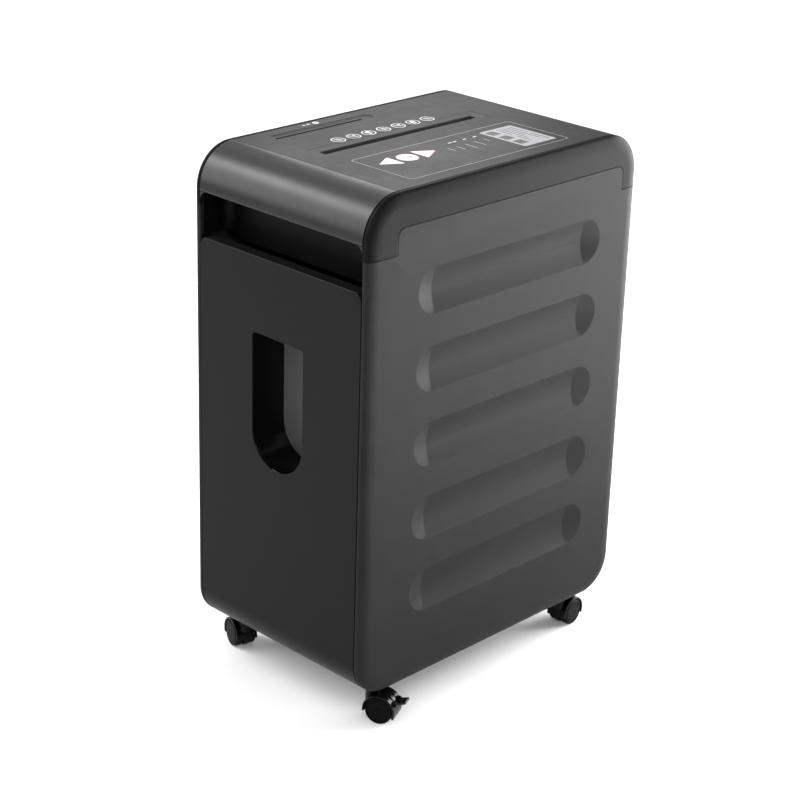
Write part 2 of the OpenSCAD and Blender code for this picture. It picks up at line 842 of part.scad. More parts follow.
// Outline of the window, drawn larger by grow: a slot with a round lower end.
module window_outline(grow) {
    half = window_w / 2 + grow;
    mid_z = window_low_z + window_w / 2;
    top = window_z + grow;
    corner = 4 + grow;
    translate([0, mid_z]) circle(half);
    translate([-half, mid_z]) square([2 * half, top - corner - mid_z]);
    translate([-half + corner, mid_z]) square([2 * half - 2 * corner, top - mid_z]);
    for (side = [-1, 1]) {
        translate([side * (half - corner), top - corner]) circle(corner);
    }
}

// Front of the bin, curled under at the bottom, with a ledge behind its top edge.
module bin_front_panel() {
    half = inner_x - 0.9;
    color("#262628") difference() {
        intersection() {
            union() {
                yz(-half, 2 * half) intersection() {
                    wall_outline();
                    translate([front_y - 1, z0 - 1])
                        square([base_y[0] - 0.6 - front_y + 1, bin_front_z - z0 + 1]);
                }
                block([-half + 8, front_y, bin_front_z - wall], [half - 8, bin_ledge_y, bin_front_z]);
            }
            xz([front_y - 1, front_y + 60]) round_rect([-half, z0 - 30], [half, bin_front_z], 10.5);
        }
        xz([front_y - 1, front_y + 5]) window_outline(2.6);
    }
}

// Outline of the bin's body seen from the side: its lower front corner is cut off at 45 degrees.
module bin_outline(inset, top) {
    slope = bin_corner - inset * (2 - sqrt(2));
    low = [bin_y[0] + inset, bin_floor_z + inset];
    polygon([
        low + [slope, 0], [bin_y[1] - inset, low.y], [bin_y[1] - inset, top],
        [low.x, top], low + [0, slope],
    ]);
}

// Open box that catches the shreds, with the tab that works the bin switch.
module bin_body() {
    color("#2a2a2c") difference() {
        union() {
            yz(-bin_x, 2 * bin_x) bin_outline(0, bin_top);
            block([-bin_x + 8, bin_y[0], bin_top - 5], [bin_x - 8, bin_y[0] + bin_wall, bin_front_z - wall]);
            block([bin_x - bin_wall, switch_y - 4, bin_top - 5], [bin_x, switch_y + 4, plunger_low - gap]);
        }
        yz(-bin_x + bin_wall, 2 * (bin_x - bin_wall)) bin_outline(bin_wall, bin_top + 20);
        xz([bin_y[0] - 1, bin_y[0] + 10]) window_outline(2.6);
    }
}

// Straight tunnel from the bin's front to the window pane.
module bin_window_tunnel() {
    color("#0c0c0d") difference() {
        xz([front_y, front_y + window_depth]) window_outline(2.5);
        xz([front_y - 1, front_y + window_depth + 1]) window_outline(0);
    }
}

module bin_window_pane() {
    color("#55585c", 0.6) xz([front_y + window_depth - 2.5, front_y + window_depth])
        window_outline(-0.05);
}

// ---- Casters ----

// Puts a caster's parts, drawn with the swivel axis at the origin and the trail along +X, in place.
module at_caster(i) {
    c = casters[i];
    translate([c[1], c[2], 0]) rotate([0, 0, c[3]]) children();
}

// Slice of the hood's ring that stays: everything but the part below the wheel.
module hood_sector() {
    reach = 60;
    polygon([
        [0, 0], [reach * cos(-22), reach * sin(-22)], [reach, reach], [-reach, reach],
        [-reach, -reach * tan(8)],
    ]);
}

// Hood over both wheels, with its stem, its middle web and, on a braked caster, the lever's ears.
module hood(i) {
    half = caster_w / 2;
    color("#141415") at_caster(i) difference() {
        union() {
            difference() {
                union() {
                    cylinder(r = 9.5, h = caster_h - 0.8);
                    y_cyl(trail, wheel_r, hood_r, [-half, half]);
                }
                y_cyl(trail, wheel_r, hood_inner_r, [-half - 1, half + 1]);
                xz([-half - 1, half + 1]) difference() {
                    translate([trail - 60, wheel_r - 60]) square([120, 120]);
                    translate([trail, wheel_r]) hood_sector();
                }
            }
            xz([-2.5, 2.5]) intersection() {
                translate([trail, wheel_r]) circle(hood_inner_r + 0.5);
                translate([trail - 30, wheel_r - 11]) square([60, 60]);
            }
            translate([0, 0, caster_h - 2]) cylinder(r = stem_r, h = 22.5);
            if (casters[i][4]) {
                for (side = [-1, 1]) {
                    lever_ear(side);
                }
            }
        }
        y_cyl(trail, wheel_r, axle_r, [-4, 4]);
        if (casters[i][4]) {
            y_cyl(trail + lever_r, lever_z, 1.2 + fit, [-9, 9]);
        }
    }
}

// One of the two ears that hold the brake lever's trunnions.
module lever_ear(side) {
    y_cyl(trail + lever_r, lever_z, 2.4, [side * 7.4 - 1, side * 7.4 + 1]);
    y = [side * 7.4 - 1, side * 7.4 + 1];
    xz(y) polygon([
        [trail + 14.5, lever_z - 4], [trail + lever_r - 1, lever_z - 2.2],
        [trail + lever_r - 0.5, lever_z + 2.2], [trail + 13.5, lever_z + 2.2],
    ]);
}

module axle(i) {
    color("#b5b5b5") at_caster(i) y_cyl(trail, wheel_r, axle_r, [-11, 11]);
}

// One wheel, with a rounded tread, an annular hollow in its inner face and a blind bore. Side 1 is at +Y.
module wheel(i, side) {
    inner = 3;
    outer = caster_w / 2 - 0.2;
    color("#1d1d1f") at_caster(i) translate([trail, 0, wheel_r]) rotate([-90 * side, 0, 0]) difference() {
        rotate_extrude($fn = 64) difference() {
            union() {
                translate([0, inner]) square([wheel_r - 1.6, outer - inner]);
                translate([0, inner + 1.6]) square([wheel_r, outer - inner - 3.2]);
                for (h = [inner + 1.6, outer - 1.6]) {
                    translate([wheel_r - 1.6, h]) circle(1.6);
                }
            }
            translate([5.5, inner - 1]) square([6.5, 4.5]);
        }
        cylinder(r = axle_r + fit, h = 11.2);
    }
}

// Foot lever of the brake, with trunnions that turn in the hood's ears.
module brake_lever(i) {
    color("#1d1d1f") at_caster(i) {
        y_cyl(trail + lever_r, lever_z, 2, [-6.2, 6.2]);
        y_cyl(trail + lever_r, lever_z, 1.2, [-8.4, 8.4]);
        xz([-6.2, 6.2]) polygon([
            [trail + lever_r, lever_z - 1.4], [trail + lever_r + 10.8, lever_z + 2],
            [trail + lever_r + 10.2, lever_z + 4.8], [trail + lever_r - 0.6, lever_z + 1.2],
        ]);
    }
}

left_side_panel();
right_side_panel();
back_panel();
base_pan();
hand_recess_shell();
cable_gland();
bin_switch();
head_top_cover();
head_front_fascia();
head_left_cheek();
head_right_cheek();
paper_throat();
cd_throat();
control_panel();
button_reverse();
button_power();
button_forward();
control_board();
head_deck();
deck_screws();
front_end_plate();
rear_end_plate();
plate_tie_rods();
shaft_bushes();
paper_cutter_left();
paper_cutter_right();
cd_cutter_inner();
cd_cutter_outer();
stripper_comb_left();
stripper_comb_right();
sync_gear_left();
sync_gear_right();
cd_cluster_gear();
cd_sync_gear();
drive_gear();
step_gear();
motor_case();
motor_rotor();
bin_front_panel();
bin_body();
bin_window_tunnel();
bin_window_pane();
hood(0);  // front_right_hood
axle(0);  // front_right_axle
wheel(0, -1);  // front_right_wheel_outer
wheel(0, 1);  // front_right_wheel_inner
brake_lever(0);  // front_right_brake_lever
hood(1);  // front_left_hood
axle(1);  // front_left_axle
wheel(1, 1);  // front_left_wheel_outer
wheel(1, -1);  // front_left_wheel_inner
hood(2);  // rear_right_hood
axle(2);  // rear_right_axle
wheel(2, -1);  // rear_right_wheel_outer
wheel(2, 1);  // rear_right_wheel_inner
hood(3);  // rear_left_hood
axle(3);  // rear_left_axle
wheel(3, -1);  // rear_left_wheel_outer
wheel(3, 1);  // rear_left_wheel_inner
brake_lever(3);  // rear_left_brake_lever
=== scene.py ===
import json
import math
import bmesh
import bpy
from mathutils import Matrix, Vector


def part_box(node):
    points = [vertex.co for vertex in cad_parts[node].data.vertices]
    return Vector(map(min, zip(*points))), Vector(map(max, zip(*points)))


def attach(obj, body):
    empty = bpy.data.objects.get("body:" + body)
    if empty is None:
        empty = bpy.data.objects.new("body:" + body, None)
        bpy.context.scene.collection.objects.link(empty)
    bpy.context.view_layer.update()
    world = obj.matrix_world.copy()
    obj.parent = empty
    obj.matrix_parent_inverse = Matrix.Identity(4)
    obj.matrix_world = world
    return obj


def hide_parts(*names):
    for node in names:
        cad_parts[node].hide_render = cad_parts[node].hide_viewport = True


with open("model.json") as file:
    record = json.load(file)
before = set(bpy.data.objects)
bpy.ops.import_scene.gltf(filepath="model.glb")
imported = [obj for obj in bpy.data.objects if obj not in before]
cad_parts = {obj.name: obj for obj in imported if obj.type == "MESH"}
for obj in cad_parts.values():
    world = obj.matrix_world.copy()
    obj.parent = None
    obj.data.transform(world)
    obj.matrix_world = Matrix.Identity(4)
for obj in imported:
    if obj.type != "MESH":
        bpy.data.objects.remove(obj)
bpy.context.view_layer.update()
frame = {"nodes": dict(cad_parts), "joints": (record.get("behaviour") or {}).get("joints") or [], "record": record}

# Shapes are drawn in millimetres, in the frame's axes, and scaled to metres when a mesh is made.
MM = 0.001


def box_mm(node):
    low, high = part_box(node)
    return low / MM, high / MM


# ---- Driving sizes, given here or read from the frame ----

WALL = 3.0
TOP_R = 44.0            # rounding of the body's upper edges, seen from the side
BOTTOM_R = 40.0         # rounding of its lower edges
SEAM_GAP = 0.5          # seam between a cheek and the side panel below it
SIDE_GAP = 0.9          # from the bin front of CAD to a side
BIN_GROWTH = 0.3        # how far the bin front grows into that gap
SHELL_GAP = 0.4         # taken off each side of the front, top and rear shells of CAD
PRINT_LIFT = 0.12       # room above the top cover for the printed marks
FIT = 0.05              # clearance around a part in its seat
ROUND = 16              # steps in a quarter of a large circle

panel_low, panel_high = box_mm("right_side_panel")
cheek_low, cheek_high = box_mm("head_right_cheek")
recess_low, recess_high = box_mm("hand_recess_shell")
film_low, film_high = box_mm("control_panel")
bin_front_high = box_mm("bin_front_panel")[1]
half_w = panel_high.x
front_y, rear_y = panel_low.y, panel_high.y
z0, z1 = panel_low.z, cheek_high.z
seam_z = cheek_low.z - SEAM_GAP / 2
tongue_top = panel_high.z + SEAM_GAP / 2
inner_x = bin_front_high.x + SIDE_GAP       # inner edge of a side
bin_half_w = bin_front_high.x + BIN_GROWTH
cover_x = box_mm("head_top_cover")[1].x
shell_x = cover_x - SHELL_GAP               # half width of the front, top and rear shells


# ---- Outlines: closed lists of points in a plane, counter-clockwise ----

def arc(centre, radius, start, end, steps):
    """Points along a circle's arc, in degrees, with both ends."""
    turn = [math.radians(start + (end - start) * i / steps) for i in range(steps + 1)]
    return [(centre[0] + radius * math.cos(a), centre[1] + radius * math.sin(a)) for a in turn]


def fillet(corners, steps=6):
    """An outline through (u, v, radius) corners, each rounded by its own radius."""
    made = []
    for i, (u, v, radius) in enumerate(corners):
        here = Vector((u, v))
        if radius <= 0:
            made.append((u, v))
            continue
        before = (Vector(corners[i - 1][:2]) - here).normalized()
        after = (Vector(corners[(i + 1) % len(corners)][:2]) - here).normalized()
        half = before.angle(after) / 2
        middle = here + (before + after).normalized() * (radius / math.sin(half))
        start = here + before * (radius / math.tan(half)) - middle
        end = here + after * (radius / math.tan(half)) - middle
        turn = math.atan2(start.x * end.y - start.y * end.x, start.dot(end))
        for k in range(steps + 1):
            a = turn * k / steps
            made.append((middle.x + start.x * math.cos(a) - start.y * math.sin(a),
                         middle.y + start.x * math.sin(a) + start.y * math.cos(a)))
    return made


def rectangle(low_u, low_v, high_u, high_v, radius=0.0, steps=6):
    corners = [(low_u, low_v), (high_u, low_v), (high_u, high_v), (low_u, high_v)]
    return fillet([(u, v, radius) for u, v in corners], steps)


def circle(u, v, radius, steps=48):
    return arc((u, v), radius, 0, 360 - 360 / steps, steps - 1)


def inset(points, distance):
    """The outline moved inward by a distance, point by point."""
    moved = []
    for i, p in enumerate(points):
        here = Vector(p)
        back = (here - Vector(points[i - 1])).normalized()
        ahead = (Vector(points[(i + 1) % len(points)]) - here).normalized()
        normal = Vector((-back.y - ahead.y, back.x + ahead.x))
        length = normal.length
        moved.append(tuple(here + normal * (2 * distance / (length * length))))
    return moved


def side_outline():
    """The body's outline seen from the side, as (y, z)."""
    return fillet([(front_y, z0, BOTTOM_R), (rear_y, z0, BOTTOM_R),
                   (rear_y, z1, TOP_R), (front_y, z1, TOP_R)], ROUND)


# ---- Placing an outline: each turns (u, v, level) into a point ----

def across_x(u, v, level):
    return (level, u, v)


def across_y(u, v, level):
    return (u, level, v)


def across_z(u, v, level):
    return (u, v, level)


# ---- Solids ----

def add_object(name, data):
    obj = bpy.data.objects.new(name, data)
    bpy.context.scene.collection.objects.link(obj)
    return obj


class Solid:
    """A mesh under construction."""

    def __init__(self):
        self.bm = bmesh.new()

    def ring(self, points):
        return [self.bm.verts.new(p) for p in points]

    def wall(self, a, b):
        for i in range(len(a)):
            j = (i + 1) % len(a)
            self.bm.faces.new((a[i], a[j], b[j], b[i]))

    def walls(self, rings):
        for a, b in zip(rings, rings[1:]):
            self.wall(a, b)

    def cap(self, ring):
        self.bm.faces.new(ring)

    def fill(self, rings):
        """Flat triangles between an outer ring and the rings of its holes."""
        edges = []
        for ring in rings:
            for i, vert in enumerate(ring):
                pair = (vert, ring[(i + 1) % len(ring)])
                edges.append(self.bm.edges.get(pair) or self.bm.edges.new(pair))
        bmesh.ops.triangle_fill(self.bm, use_beauty=True, edges=edges)

    def stack(self, levels):
        """Rings joined by walls, closed with a cap at both ends."""
        rings = [self.ring(points) for points in levels]
        self.walls(rings)
        self.cap(rings[0])
        self.cap(rings[-1])

    def tube(self, levels):
        """Rings joined by walls, the last one with the first: a solid with a hole through it."""
        rings = [self.ring(points) for points in levels]
        self.walls(rings + rings[:1])

    def object(self, name):
        bmesh.ops.remove_doubles(self.bm, verts=self.bm.verts, dist=1e-4)
        bmesh.ops.recalc_face_normals(self.bm, faces=self.bm.faces)
        mesh = bpy.data.meshes.new(name)
        self.bm.to_mesh(mesh)
        self.bm.free()
        mesh.transform(Matrix.Scale(MM, 4))
        return add_object(name, mesh)


def prism(name, outline, place, low, high, edge=0.0, steps=2):
    """A solid of one outline between two levels, its two rims rounded by edge."""
    solid = Solid()
    turns = [math.pi / 2 * i / steps for i in range(steps + 1)] if edge > 0 else [0.0]
    lower = [(edge * (1 - math.sin(a)), low + edge * (1 - math.cos(a))) for a in turns]
    levels = lower + [(shrink, low + high - level) for shrink, level in reversed(lower)]
    solid.stack([[place(u, v, level) for u, v in inset(outline, shrink)]
                 for shrink, level in levels])
    return solid.object(name)


def block(name, low, high, edge=0.0):
    return prism(name, rectangle(low[0], low[1], high[0], high[1]), across_z, low[2], high[2], edge)


def lathe(name, profile, matrix, steps=64):
    """A solid turned around Z from (radius, height) points, and placed by a matrix in mm."""
    solid = Solid()
    rings = []
    for radius, height in profile:
        if radius < 1e-6:
            rings.append([solid.bm.verts.new(matrix @ Vector((0, 0, height)))])
            continue
        turns = [2 * math.pi * i / steps for i in range(steps)]
        points = [Vector((radius * math.cos(a), radius * math.sin(a), height)) for a in turns]
        rings.append(solid.ring([matrix @ point for point in points]))
    for a, b in zip(rings, rings[1:]):
        if len(a) > 1 and len(b) > 1:
            solid.wall(a, b)
        elif len(a) > 1 or len(b) > 1:
            tip, ring = (a[0], b) if len(a) == 1 else (b[0], a)
            for i in range(len(ring)):
                solid.bm.faces.new((tip, ring[i], ring[(i + 1) % len(ring)]))
    return solid.object(name)


def apply_modifiers(obj):
    bpy.context.view_layer.update()
    graph = bpy.context.evaluated_depsgraph_get()
    mesh = bpy.data.meshes.new_from_object(obj.evaluated_get(graph))
    old = obj.data
    obj.modifiers.clear()
    obj.data = mesh
    mesh.name = obj.name
    bpy.data.meshes.remove(old)


def combine(obj, others, operation):
    """Boolean of obj with others, which are used up."""
    for other in others:
        modifier = obj.modifiers.new("combine", "BOOLEAN")
        modifier.object = other
        modifier.operation = operation
        modifier.solver = "EXACT"
        apply_modifiers(obj)
        bpy.data.meshes.remove(other.data)


def cut(obj, *others):
    combine(obj, others, "DIFFERENCE")


def join(obj, *others):
    combine(obj, others, "UNION")


def keep(obj, *others):
    combine(obj, others, "INTERSECT")


def mirrored(obj, name):
    """A copy on the other side of the middle plane."""
    mesh = obj.data.copy()
    mesh.transform(Matrix.Scale(-1, 4, (1, 0, 0)))
    mesh.flip_normals()
    mesh.name = name
    return add_object(name, mesh)


def finish_edges(obj, width, limit=50, sharp=35):
    """Rounds edges over limit degrees by a width, if it isn't 0, and shades the flats flat."""
    bm = bmesh.new()
    bm.from_mesh(obj.data)
    bmesh.ops.dissolve_limit(bm, angle_limit=math.radians(0.3), verts=bm.verts, edges=bm.edges,
                             delimit={"NORMAL"})
    bm.to_mesh(obj.data)
    bm.free()
    if width > 0:
        bevel = obj.modifiers.new("edge_rounding", "BEVEL")
        bevel.width = width * MM
        bevel.segments = 2
        bevel.limit_method = "ANGLE"
        bevel.angle_limit = math.radians(limit)
        bevel.use_clamp_overlap = True
        apply_modifiers(obj)
    bm = bmesh.new()
    bm.from_mesh(obj.data)
    bmesh.ops.remove_doubles(bm, verts=bm.verts, dist=2e-6)
    bmesh.ops.dissolve_degenerate(bm, edges=bm.edges, dist=1e-6)
    for edge in bm.edges:
        if len(edge.link_faces) == 2 and edge.calc_face_angle(0) > math.radians(sharp):
            edge.smooth = False
    for face in bm.faces:
        face.smooth = True
    bm.to_mesh(obj.data)
    bm.free()
    normals = obj.modifiers.new("flat_shading", "WEIGHTED_NORMAL")
    normals.keep_sharp = True
    normals.weight = 100


# ---- Materials ----

def new_material(name):
    material = bpy.data.materials.new(name)
    material.use_nodes = True
    tree = material.node_tree
    return material, tree.nodes, tree.links, tree.nodes["Principled BSDF"]


def set_inputs(node, values):
    for name, value in values.items():
        node.inputs[name].default_value = value


def noise(nodes, links, coordinates, cell_mm, detail=3.0, roughness=0.5):
    node = nodes.new("ShaderNodeTexNoise")
    set_inputs(node, {"Scale": 1 / (cell_mm * MM), "Detail": detail, "Roughness": roughness})
    links.new(coordinates, node.inputs["Vector"])
    return node.outputs["Fac"]


def spread(nodes, links, source, low, high, from_low=0.3, from_high=0.7):
    node = nodes.new("ShaderNodeMapRange")
    set_inputs(node, {"From Min": from_low, "From Max": from_high, "To Min": low, "To Max": high})
    links.new(source, node.inputs["Value"])
    return node.outputs["Result"]


def mix_colour(nodes, links, factor, a, b):
    node = nodes.new("ShaderNodeMix")
    node.data_type = "RGBA"
    links.new(factor, node.inputs["Factor"])
    for socket, value in (("A", a), ("B", b)):
        target = [s for s in node.inputs if s.name == socket and s.type == "RGBA"][0]
        if isinstance(value, bpy.types.NodeSocket):
            links.new(value, target)
        else:
            target.default_value = (*value, 1)
    return [s for s in node.outputs if s.type == "RGBA"][0]


def add_bump(nodes, links, shader, height, strength, depth_mm):
    bump = nodes.new("ShaderNodeBump")
    set_inputs(bump, {"Strength": strength, "Distance": depth_mm * MM})
    links.new(height, bump.inputs["Height"])
    links.new(bump.outputs["Normal"], shader.inputs["Normal"])


TONE_CELL = 60.0        # size of the slow changes of tone, in mm
SCUFF_CELL = 9.0        # size of the scuffs that change the gloss


def moulded(name, colour, roughness, grain_mm, grain_depth, specular=0.5, variation=0.12,
            wear=0.25, metallic=0.0):
    """A solid surface: fine grain, slow changes of tone and gloss, and lighter worn edges."""
    material, nodes, links, shader = new_material(name)
    place = nodes.new("ShaderNodeTexCoord").outputs["Object"]
    slow = noise(nodes, links, place, TONE_CELL, 4.0, 0.6)
    fine = noise(nodes, links, place, grain_mm, 2.0, 0.6)
    scuff = noise(nodes, links, place, SCUFF_CELL, 5.0, 0.7)
    light = [min(1.0, c * (1 + variation)) for c in colour]
    dark = [c * (1 - variation) for c in colour]
    base = mix_colour(nodes, links, spread(nodes, links, slow, 0, 1), dark, light)
    edge = nodes.new("ShaderNodeNewGeometry").outputs["Pointiness"]
    worn = spread(nodes, links, edge, 0, wear, 0.52, 0.60)
    pale = [min(1.0, c * 1.8 + 0.004) for c in colour]
    links.new(mix_colour(nodes, links, worn, base, pale), shader.inputs["Base Color"])
    gloss = nodes.new("ShaderNodeMath")
    gloss.operation = "ADD"
    links.new(spread(nodes, links, slow, roughness - 0.03, roughness + 0.03), gloss.inputs[0])
    links.new(spread(nodes, links, scuff, -0.025, 0.025), gloss.inputs[1])
    links.new(gloss.outputs[0], shader.inputs["Roughness"])
    add_bump(nodes, links, shader, fine, 0.6, grain_depth)
    set_inputs(shader, {"Specular IOR Level": specular, "Metallic": metallic})
    return material


def brushed(name, colour, roughness, stretch, streak_mm=0.6):
    """Metal with fine machining lines that are stretched along one axis."""
    material, nodes, links, shader = new_material(name)
    place = nodes.new("ShaderNodeTexCoord").outputs["Object"]
    mapping = nodes.new("ShaderNodeMapping")
    mapping.inputs["Scale"].default_value = stretch
    links.new(place, mapping.inputs["Vector"])
    lines = noise(nodes, links, mapping.outputs["Vector"], streak_mm, 3.0)
    slow = noise(nodes, links, place, 35.0, 4.0)
    base = mix_colour(nodes, links, spread(nodes, links, slow, 0, 1), [c * 0.85 for c in colour],
                      [min(1.0, c * 1.1) for c in colour])
    links.new(base, shader.inputs["Base Color"])
    gloss = spread(nodes, links, lines, roughness - 0.08, roughness + 0.1)
    links.new(gloss, shader.inputs["Roughness"])
    add_bump(nodes, links, shader, lines, 0.3, 0.01)
    set_inputs(shader, {"Metallic": 1.0})
    return material


def smoked(name, tint, roughness):
    """Dark clear plastic with a few fine scratches."""
    material, nodes, links, shader = new_material(name)
    place = nodes.new("ShaderNodeTexCoord").outputs["Object"]
    haze = noise(nodes, links, place, 12.0, 6.0, 0.7)
    links.new(spread(nodes, links, haze, roughness, roughness + 0.05), shader.inputs["Roughness"])
    base = mix_colour(nodes, links, spread(nodes, links, haze, 0, 1), tint, [c * 1.08 for c in tint])
    links.new(base, shader.inputs["Base Color"])
    set_inputs(shader, {"Transmission Weight": 0.35, "IOR": 1.49, "Specular IOR Level": 0.5})
    return material


# colour, roughness, size and depth of the grain in mm, specular, variation, wear, metallic
MOULDED = {
    "side_shell": ((0.0140, 0.0140, 0.0143), 0.50, 0.6, 0.010, 0.056),
    "cheek": ((0.0052, 0.0052, 0.0054), 0.42, 0.6, 0.006, 0.040),
    "top_cover": ((0.0133, 0.0133, 0.0137), 0.46, 0.45, 0.018, 0.16),
    "fascia": ((0.0044, 0.0040, 0.0052), 0.36, 0.8, 0.004, 0.32),
    "bin_front": ((0.0060, 0.0060, 0.0062), 0.40, 0.6, 0.008, 0.072),
    "inner_plastic": ((0.0016, 0.0016, 0.0017), 0.45, 0.7, 0.015, 0.09),
    "gloss_black": ((0.0012, 0.0012, 0.0013), 0.10, 1.5, 0.002, 0.16),
    "panel_film": ((0.0066, 0.0066, 0.0069), 0.40, 0.25, 0.008, 0.14, 0.12, 0.0),
    "icon_white": ((0.72, 0.72, 0.73), 0.45, 0.4, 0.005, 0.5, 0.03, 0.0),
    "ink_grey": ((0.30, 0.30, 0.31), 0.5, 0.4, 0.004, 0.5, 0.05, 0.0),
    "ink_dark": ((0.05, 0.05, 0.052), 0.5, 0.4, 0.004, 0.5, 0.1, 0.0),
    # painted glow: a plain red colour that stands in for the light around two keys
    "painted_red_glow": ((0.42, 0.05, 0.05), 0.4, 0.4, 0.004, 0.5, 0.05, 0.0),
    "label_grey": ((0.30, 0.30, 0.31), 0.45, 0.5, 0.006, 0.5, 0.06, 0.0),
    "circuit_board": ((0.02, 0.13, 0.06), 0.35, 1.2, 0.03, 0.5, 0.3),
    "nylon_gear": ((0.72, 0.68, 0.58), 0.45, 0.8, 0.01, 0.5, 0.06),
    "bronze_bush": ((0.52, 0.36, 0.16), 0.4, 0.4, 0.02, 0.5, 0.12, 0.25, 1.0),
    "caster_plastic": ((0.0018, 0.0018, 0.0020), 0.22, 0.8, 0.006, 0.12),
    "caster_tread": ((0.0018, 0.0018, 0.0019), 0.42, 0.5, 0.015, 0.05),
}
# colour, roughness, stretch along the axes, size of the streaks in mm
BRUSHED = {
    "zinc_steel": ((0.60, 0.61, 0.63), 0.34, (1, 1, 8)),
    "cutter_steel": ((0.42, 0.43, 0.45), 0.28, (1, 10, 1)),
    "winding": ((0.50, 0.24, 0.10), 0.35, (1, 12, 1), 0.9),
}
MATERIALS = {name: moulded(name, *values) for name, values in MOULDED.items()}
MATERIALS.update({name: brushed(name, *values) for name, values in BRUSHED.items()})
MATERIALS["smoked_pane"] = smoked("smoked_pane", (0.13, 0.13, 0.134), 0.14)


def piece(obj, body, slot, *nodes, material=None):
    """Gives a piece its material, picked by its slot unless one is given, puts it in its body and hides the CAD
    nodes it stands for.
    """
    obj.data.materials.clear()
    obj.data.materials.append(material or MATERIALS[slot])
    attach(obj, body)
    if nodes:
        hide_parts(*nodes)


# ---- Sides: one rounded shell a side, parted along the head's seam ----

BLEND_W = 16.0          # width of the blend band around the side
BLEND_D = 6.3           # depth of the same band
RIM_R = 1.3             # rounding of the side's rim along the seam to the front, top and rear
GROOVE_COUNT = 5
GROOVE_PITCH = 82.3
GROOVE_Z = 146.0        # height of the lowest groove's axis
GROOVE_START = -131.3   # y of a groove's front end
GROOVE_L = 274.4
GROOVE_H = 48.6
GROOVE_DEPTH = 6.5
GROOVE_RINGS = 14       # steps from a groove's rim to its innermost ring
GROOVE_CORE = 0.8       # half height of that ring
BACK_SINK = 0.92        # the bulge inside the shell, as a part of the groove's depth
RIM = 0.9               # half the width of the groove's rounded rim
TONGUE_Y = (-161.8, 175.3)
TONGUE_R = 9.0


def groove_depth_at(along, across):
    """Depth of a groove: a round trough whose ends rise in a straight ramp."""
    half = GROOVE_H / 2
    if abs(across) >= half:
        return 0.0
    rho = (half ** 2 + GROOVE_DEPTH ** 2) / (2 * GROOVE_DEPTH)
    trough = math.sqrt(rho ** 2 - across ** 2) - (rho - GROOVE_DEPTH)
    reach = math.sqrt(half ** 2 - across ** 2)
    return trough * max(0.0, 1 - max(0.0, along) / reach)


def groove_ring(middle_z, offset):
    """Points of a ring in a groove: y, z, distance past the trough's end, height off its axis."""
    half = GROOVE_H / 2
    radius = half + offset
    ring = []
    for end, start_angle in ((GROOVE_START + GROOVE_L - half, -90), (GROOVE_START + half, 90)):
        for i in range(ROUND + 1):
            a = math.radians(start_angle + 180 * i / ROUND)
            along, height = radius * math.cos(a), radius * math.sin(a)
            ring.append((end + along, middle_z + height, abs(along), height))
    return ring


def add_groove(solid, middle_z, surface, sink):
    """Rings of one groove below a flat surface. Gives back the outer ring."""
    inner = GROOVE_H / 2 - RIM - GROOVE_CORE
    offsets = [RIM, RIM / 2, 0, -RIM / 2]
    offsets += [-RIM - inner * i / GROOVE_RINGS for i in range(GROOVE_RINGS + 1)]
    first = last = None
    for offset in offsets:
        points = []
        for y, z, along, across in groove_ring(middle_z, offset):
            if abs(offset) <= RIM:
                shrink = (GROOVE_H / 2 - RIM) / (GROOVE_H / 2 + offset)
                depth = groove_depth_at(along * shrink, across * shrink)
                depth *= ((RIM - offset) / (2 * RIM)) ** 2
            else:
                depth = groove_depth_at(along, across)
            points.append((surface - depth * sink, y, z))
        ring = solid.ring(points)
        if last:
            solid.wall(last, ring)
        first = first or ring
        last = ring
    solid.cap(last)
    return first


def side_shell():
    """The right side as one hollow shell over its whole height."""
    solid = Solid()
    lip_x = half_w - BLEND_D
    turns = [math.pi / 2 * i / ROUND for i in range(1, ROUND + 1)]
    # both faces of the shell as (distance in from the outline, x)
    outer = [(RIM_R, inner_x), (0.3 * RIM_R, inner_x + 0.3 * RIM_R), (0.0, inner_x + RIM_R),
             (0.0, lip_x)]
    outer += [(BLEND_W * (1 - math.cos(a)), lip_x + BLEND_D * math.sin(a)) for a in turns]
    hollow = [(3.2, inner_x), (3.2, 120.5), (6.0, 123.2), (12.0, 124.6), (BLEND_W + 2, half_w - WALL)]

    def loop(shrink, x):
        return solid.ring([(x, y, z) for y, z in inset(side_outline(), shrink)])

    outer_rings = [loop(*level) for level in outer]
    hollow_rings = [loop(*level) for level in hollow]
    solid.walls(outer_rings)
    solid.walls(hollow_rings)
    solid.wall(outer_rings[0], hollow_rings[0])
    places = [GROOVE_Z + GROOVE_PITCH * i for i in range(GROOVE_COUNT)]
    front_holes = [add_groove(solid, z, half_w, 1.0) for z in places]
    back_holes = [add_groove(solid, z, half_w - WALL, BACK_SINK) for z in places]
    solid.fill([outer_rings[-1]] + front_holes)
    solid.fill([hollow_rings[-1]] + back_holes)
    return solid.object("side_shell")


def tongue_region(name, grow):
    """The side panel's space: all below the seam, and the tongue between the cheek's legs."""
    left, right = TONGUE_Y[0] - grow, TONGUE_Y[1] + grow
    seam, top = seam_z + grow, tongue_top + grow
    outline = [(front_y - 10, z0 - 10), (rear_y + 10, z0 - 10), (rear_y + 10, seam),
               (right, seam)]
    outline += arc((right - TONGUE_R, top - TONGUE_R), TONGUE_R, 0, 90, 8)
    outline += arc((left + TONGUE_R, top - TONGUE_R), TONGUE_R, 90, 180, 8)
    outline += [(left, seam), (front_y - 10, seam)]
    return prism(name, outline, across_x, inner_x - 10, half_w + 10)


def dress_side(right, twin_name, slot, material, nodes):
    """Finishes a piece of the right side and makes its mirror twin."""
    finish_edges(right, width=0.45, limit=55, sharp=7)
    right.modifiers.clear()
    for obj, node in ((right, nodes[0]), (mirrored(right, twin_name), nodes[1])):
        obj.modifiers.new("flat_shading", "WEIGHTED_NORMAL").keep_sharp = True
        piece(obj, "cabinet", slot, node, material=MATERIALS[material])


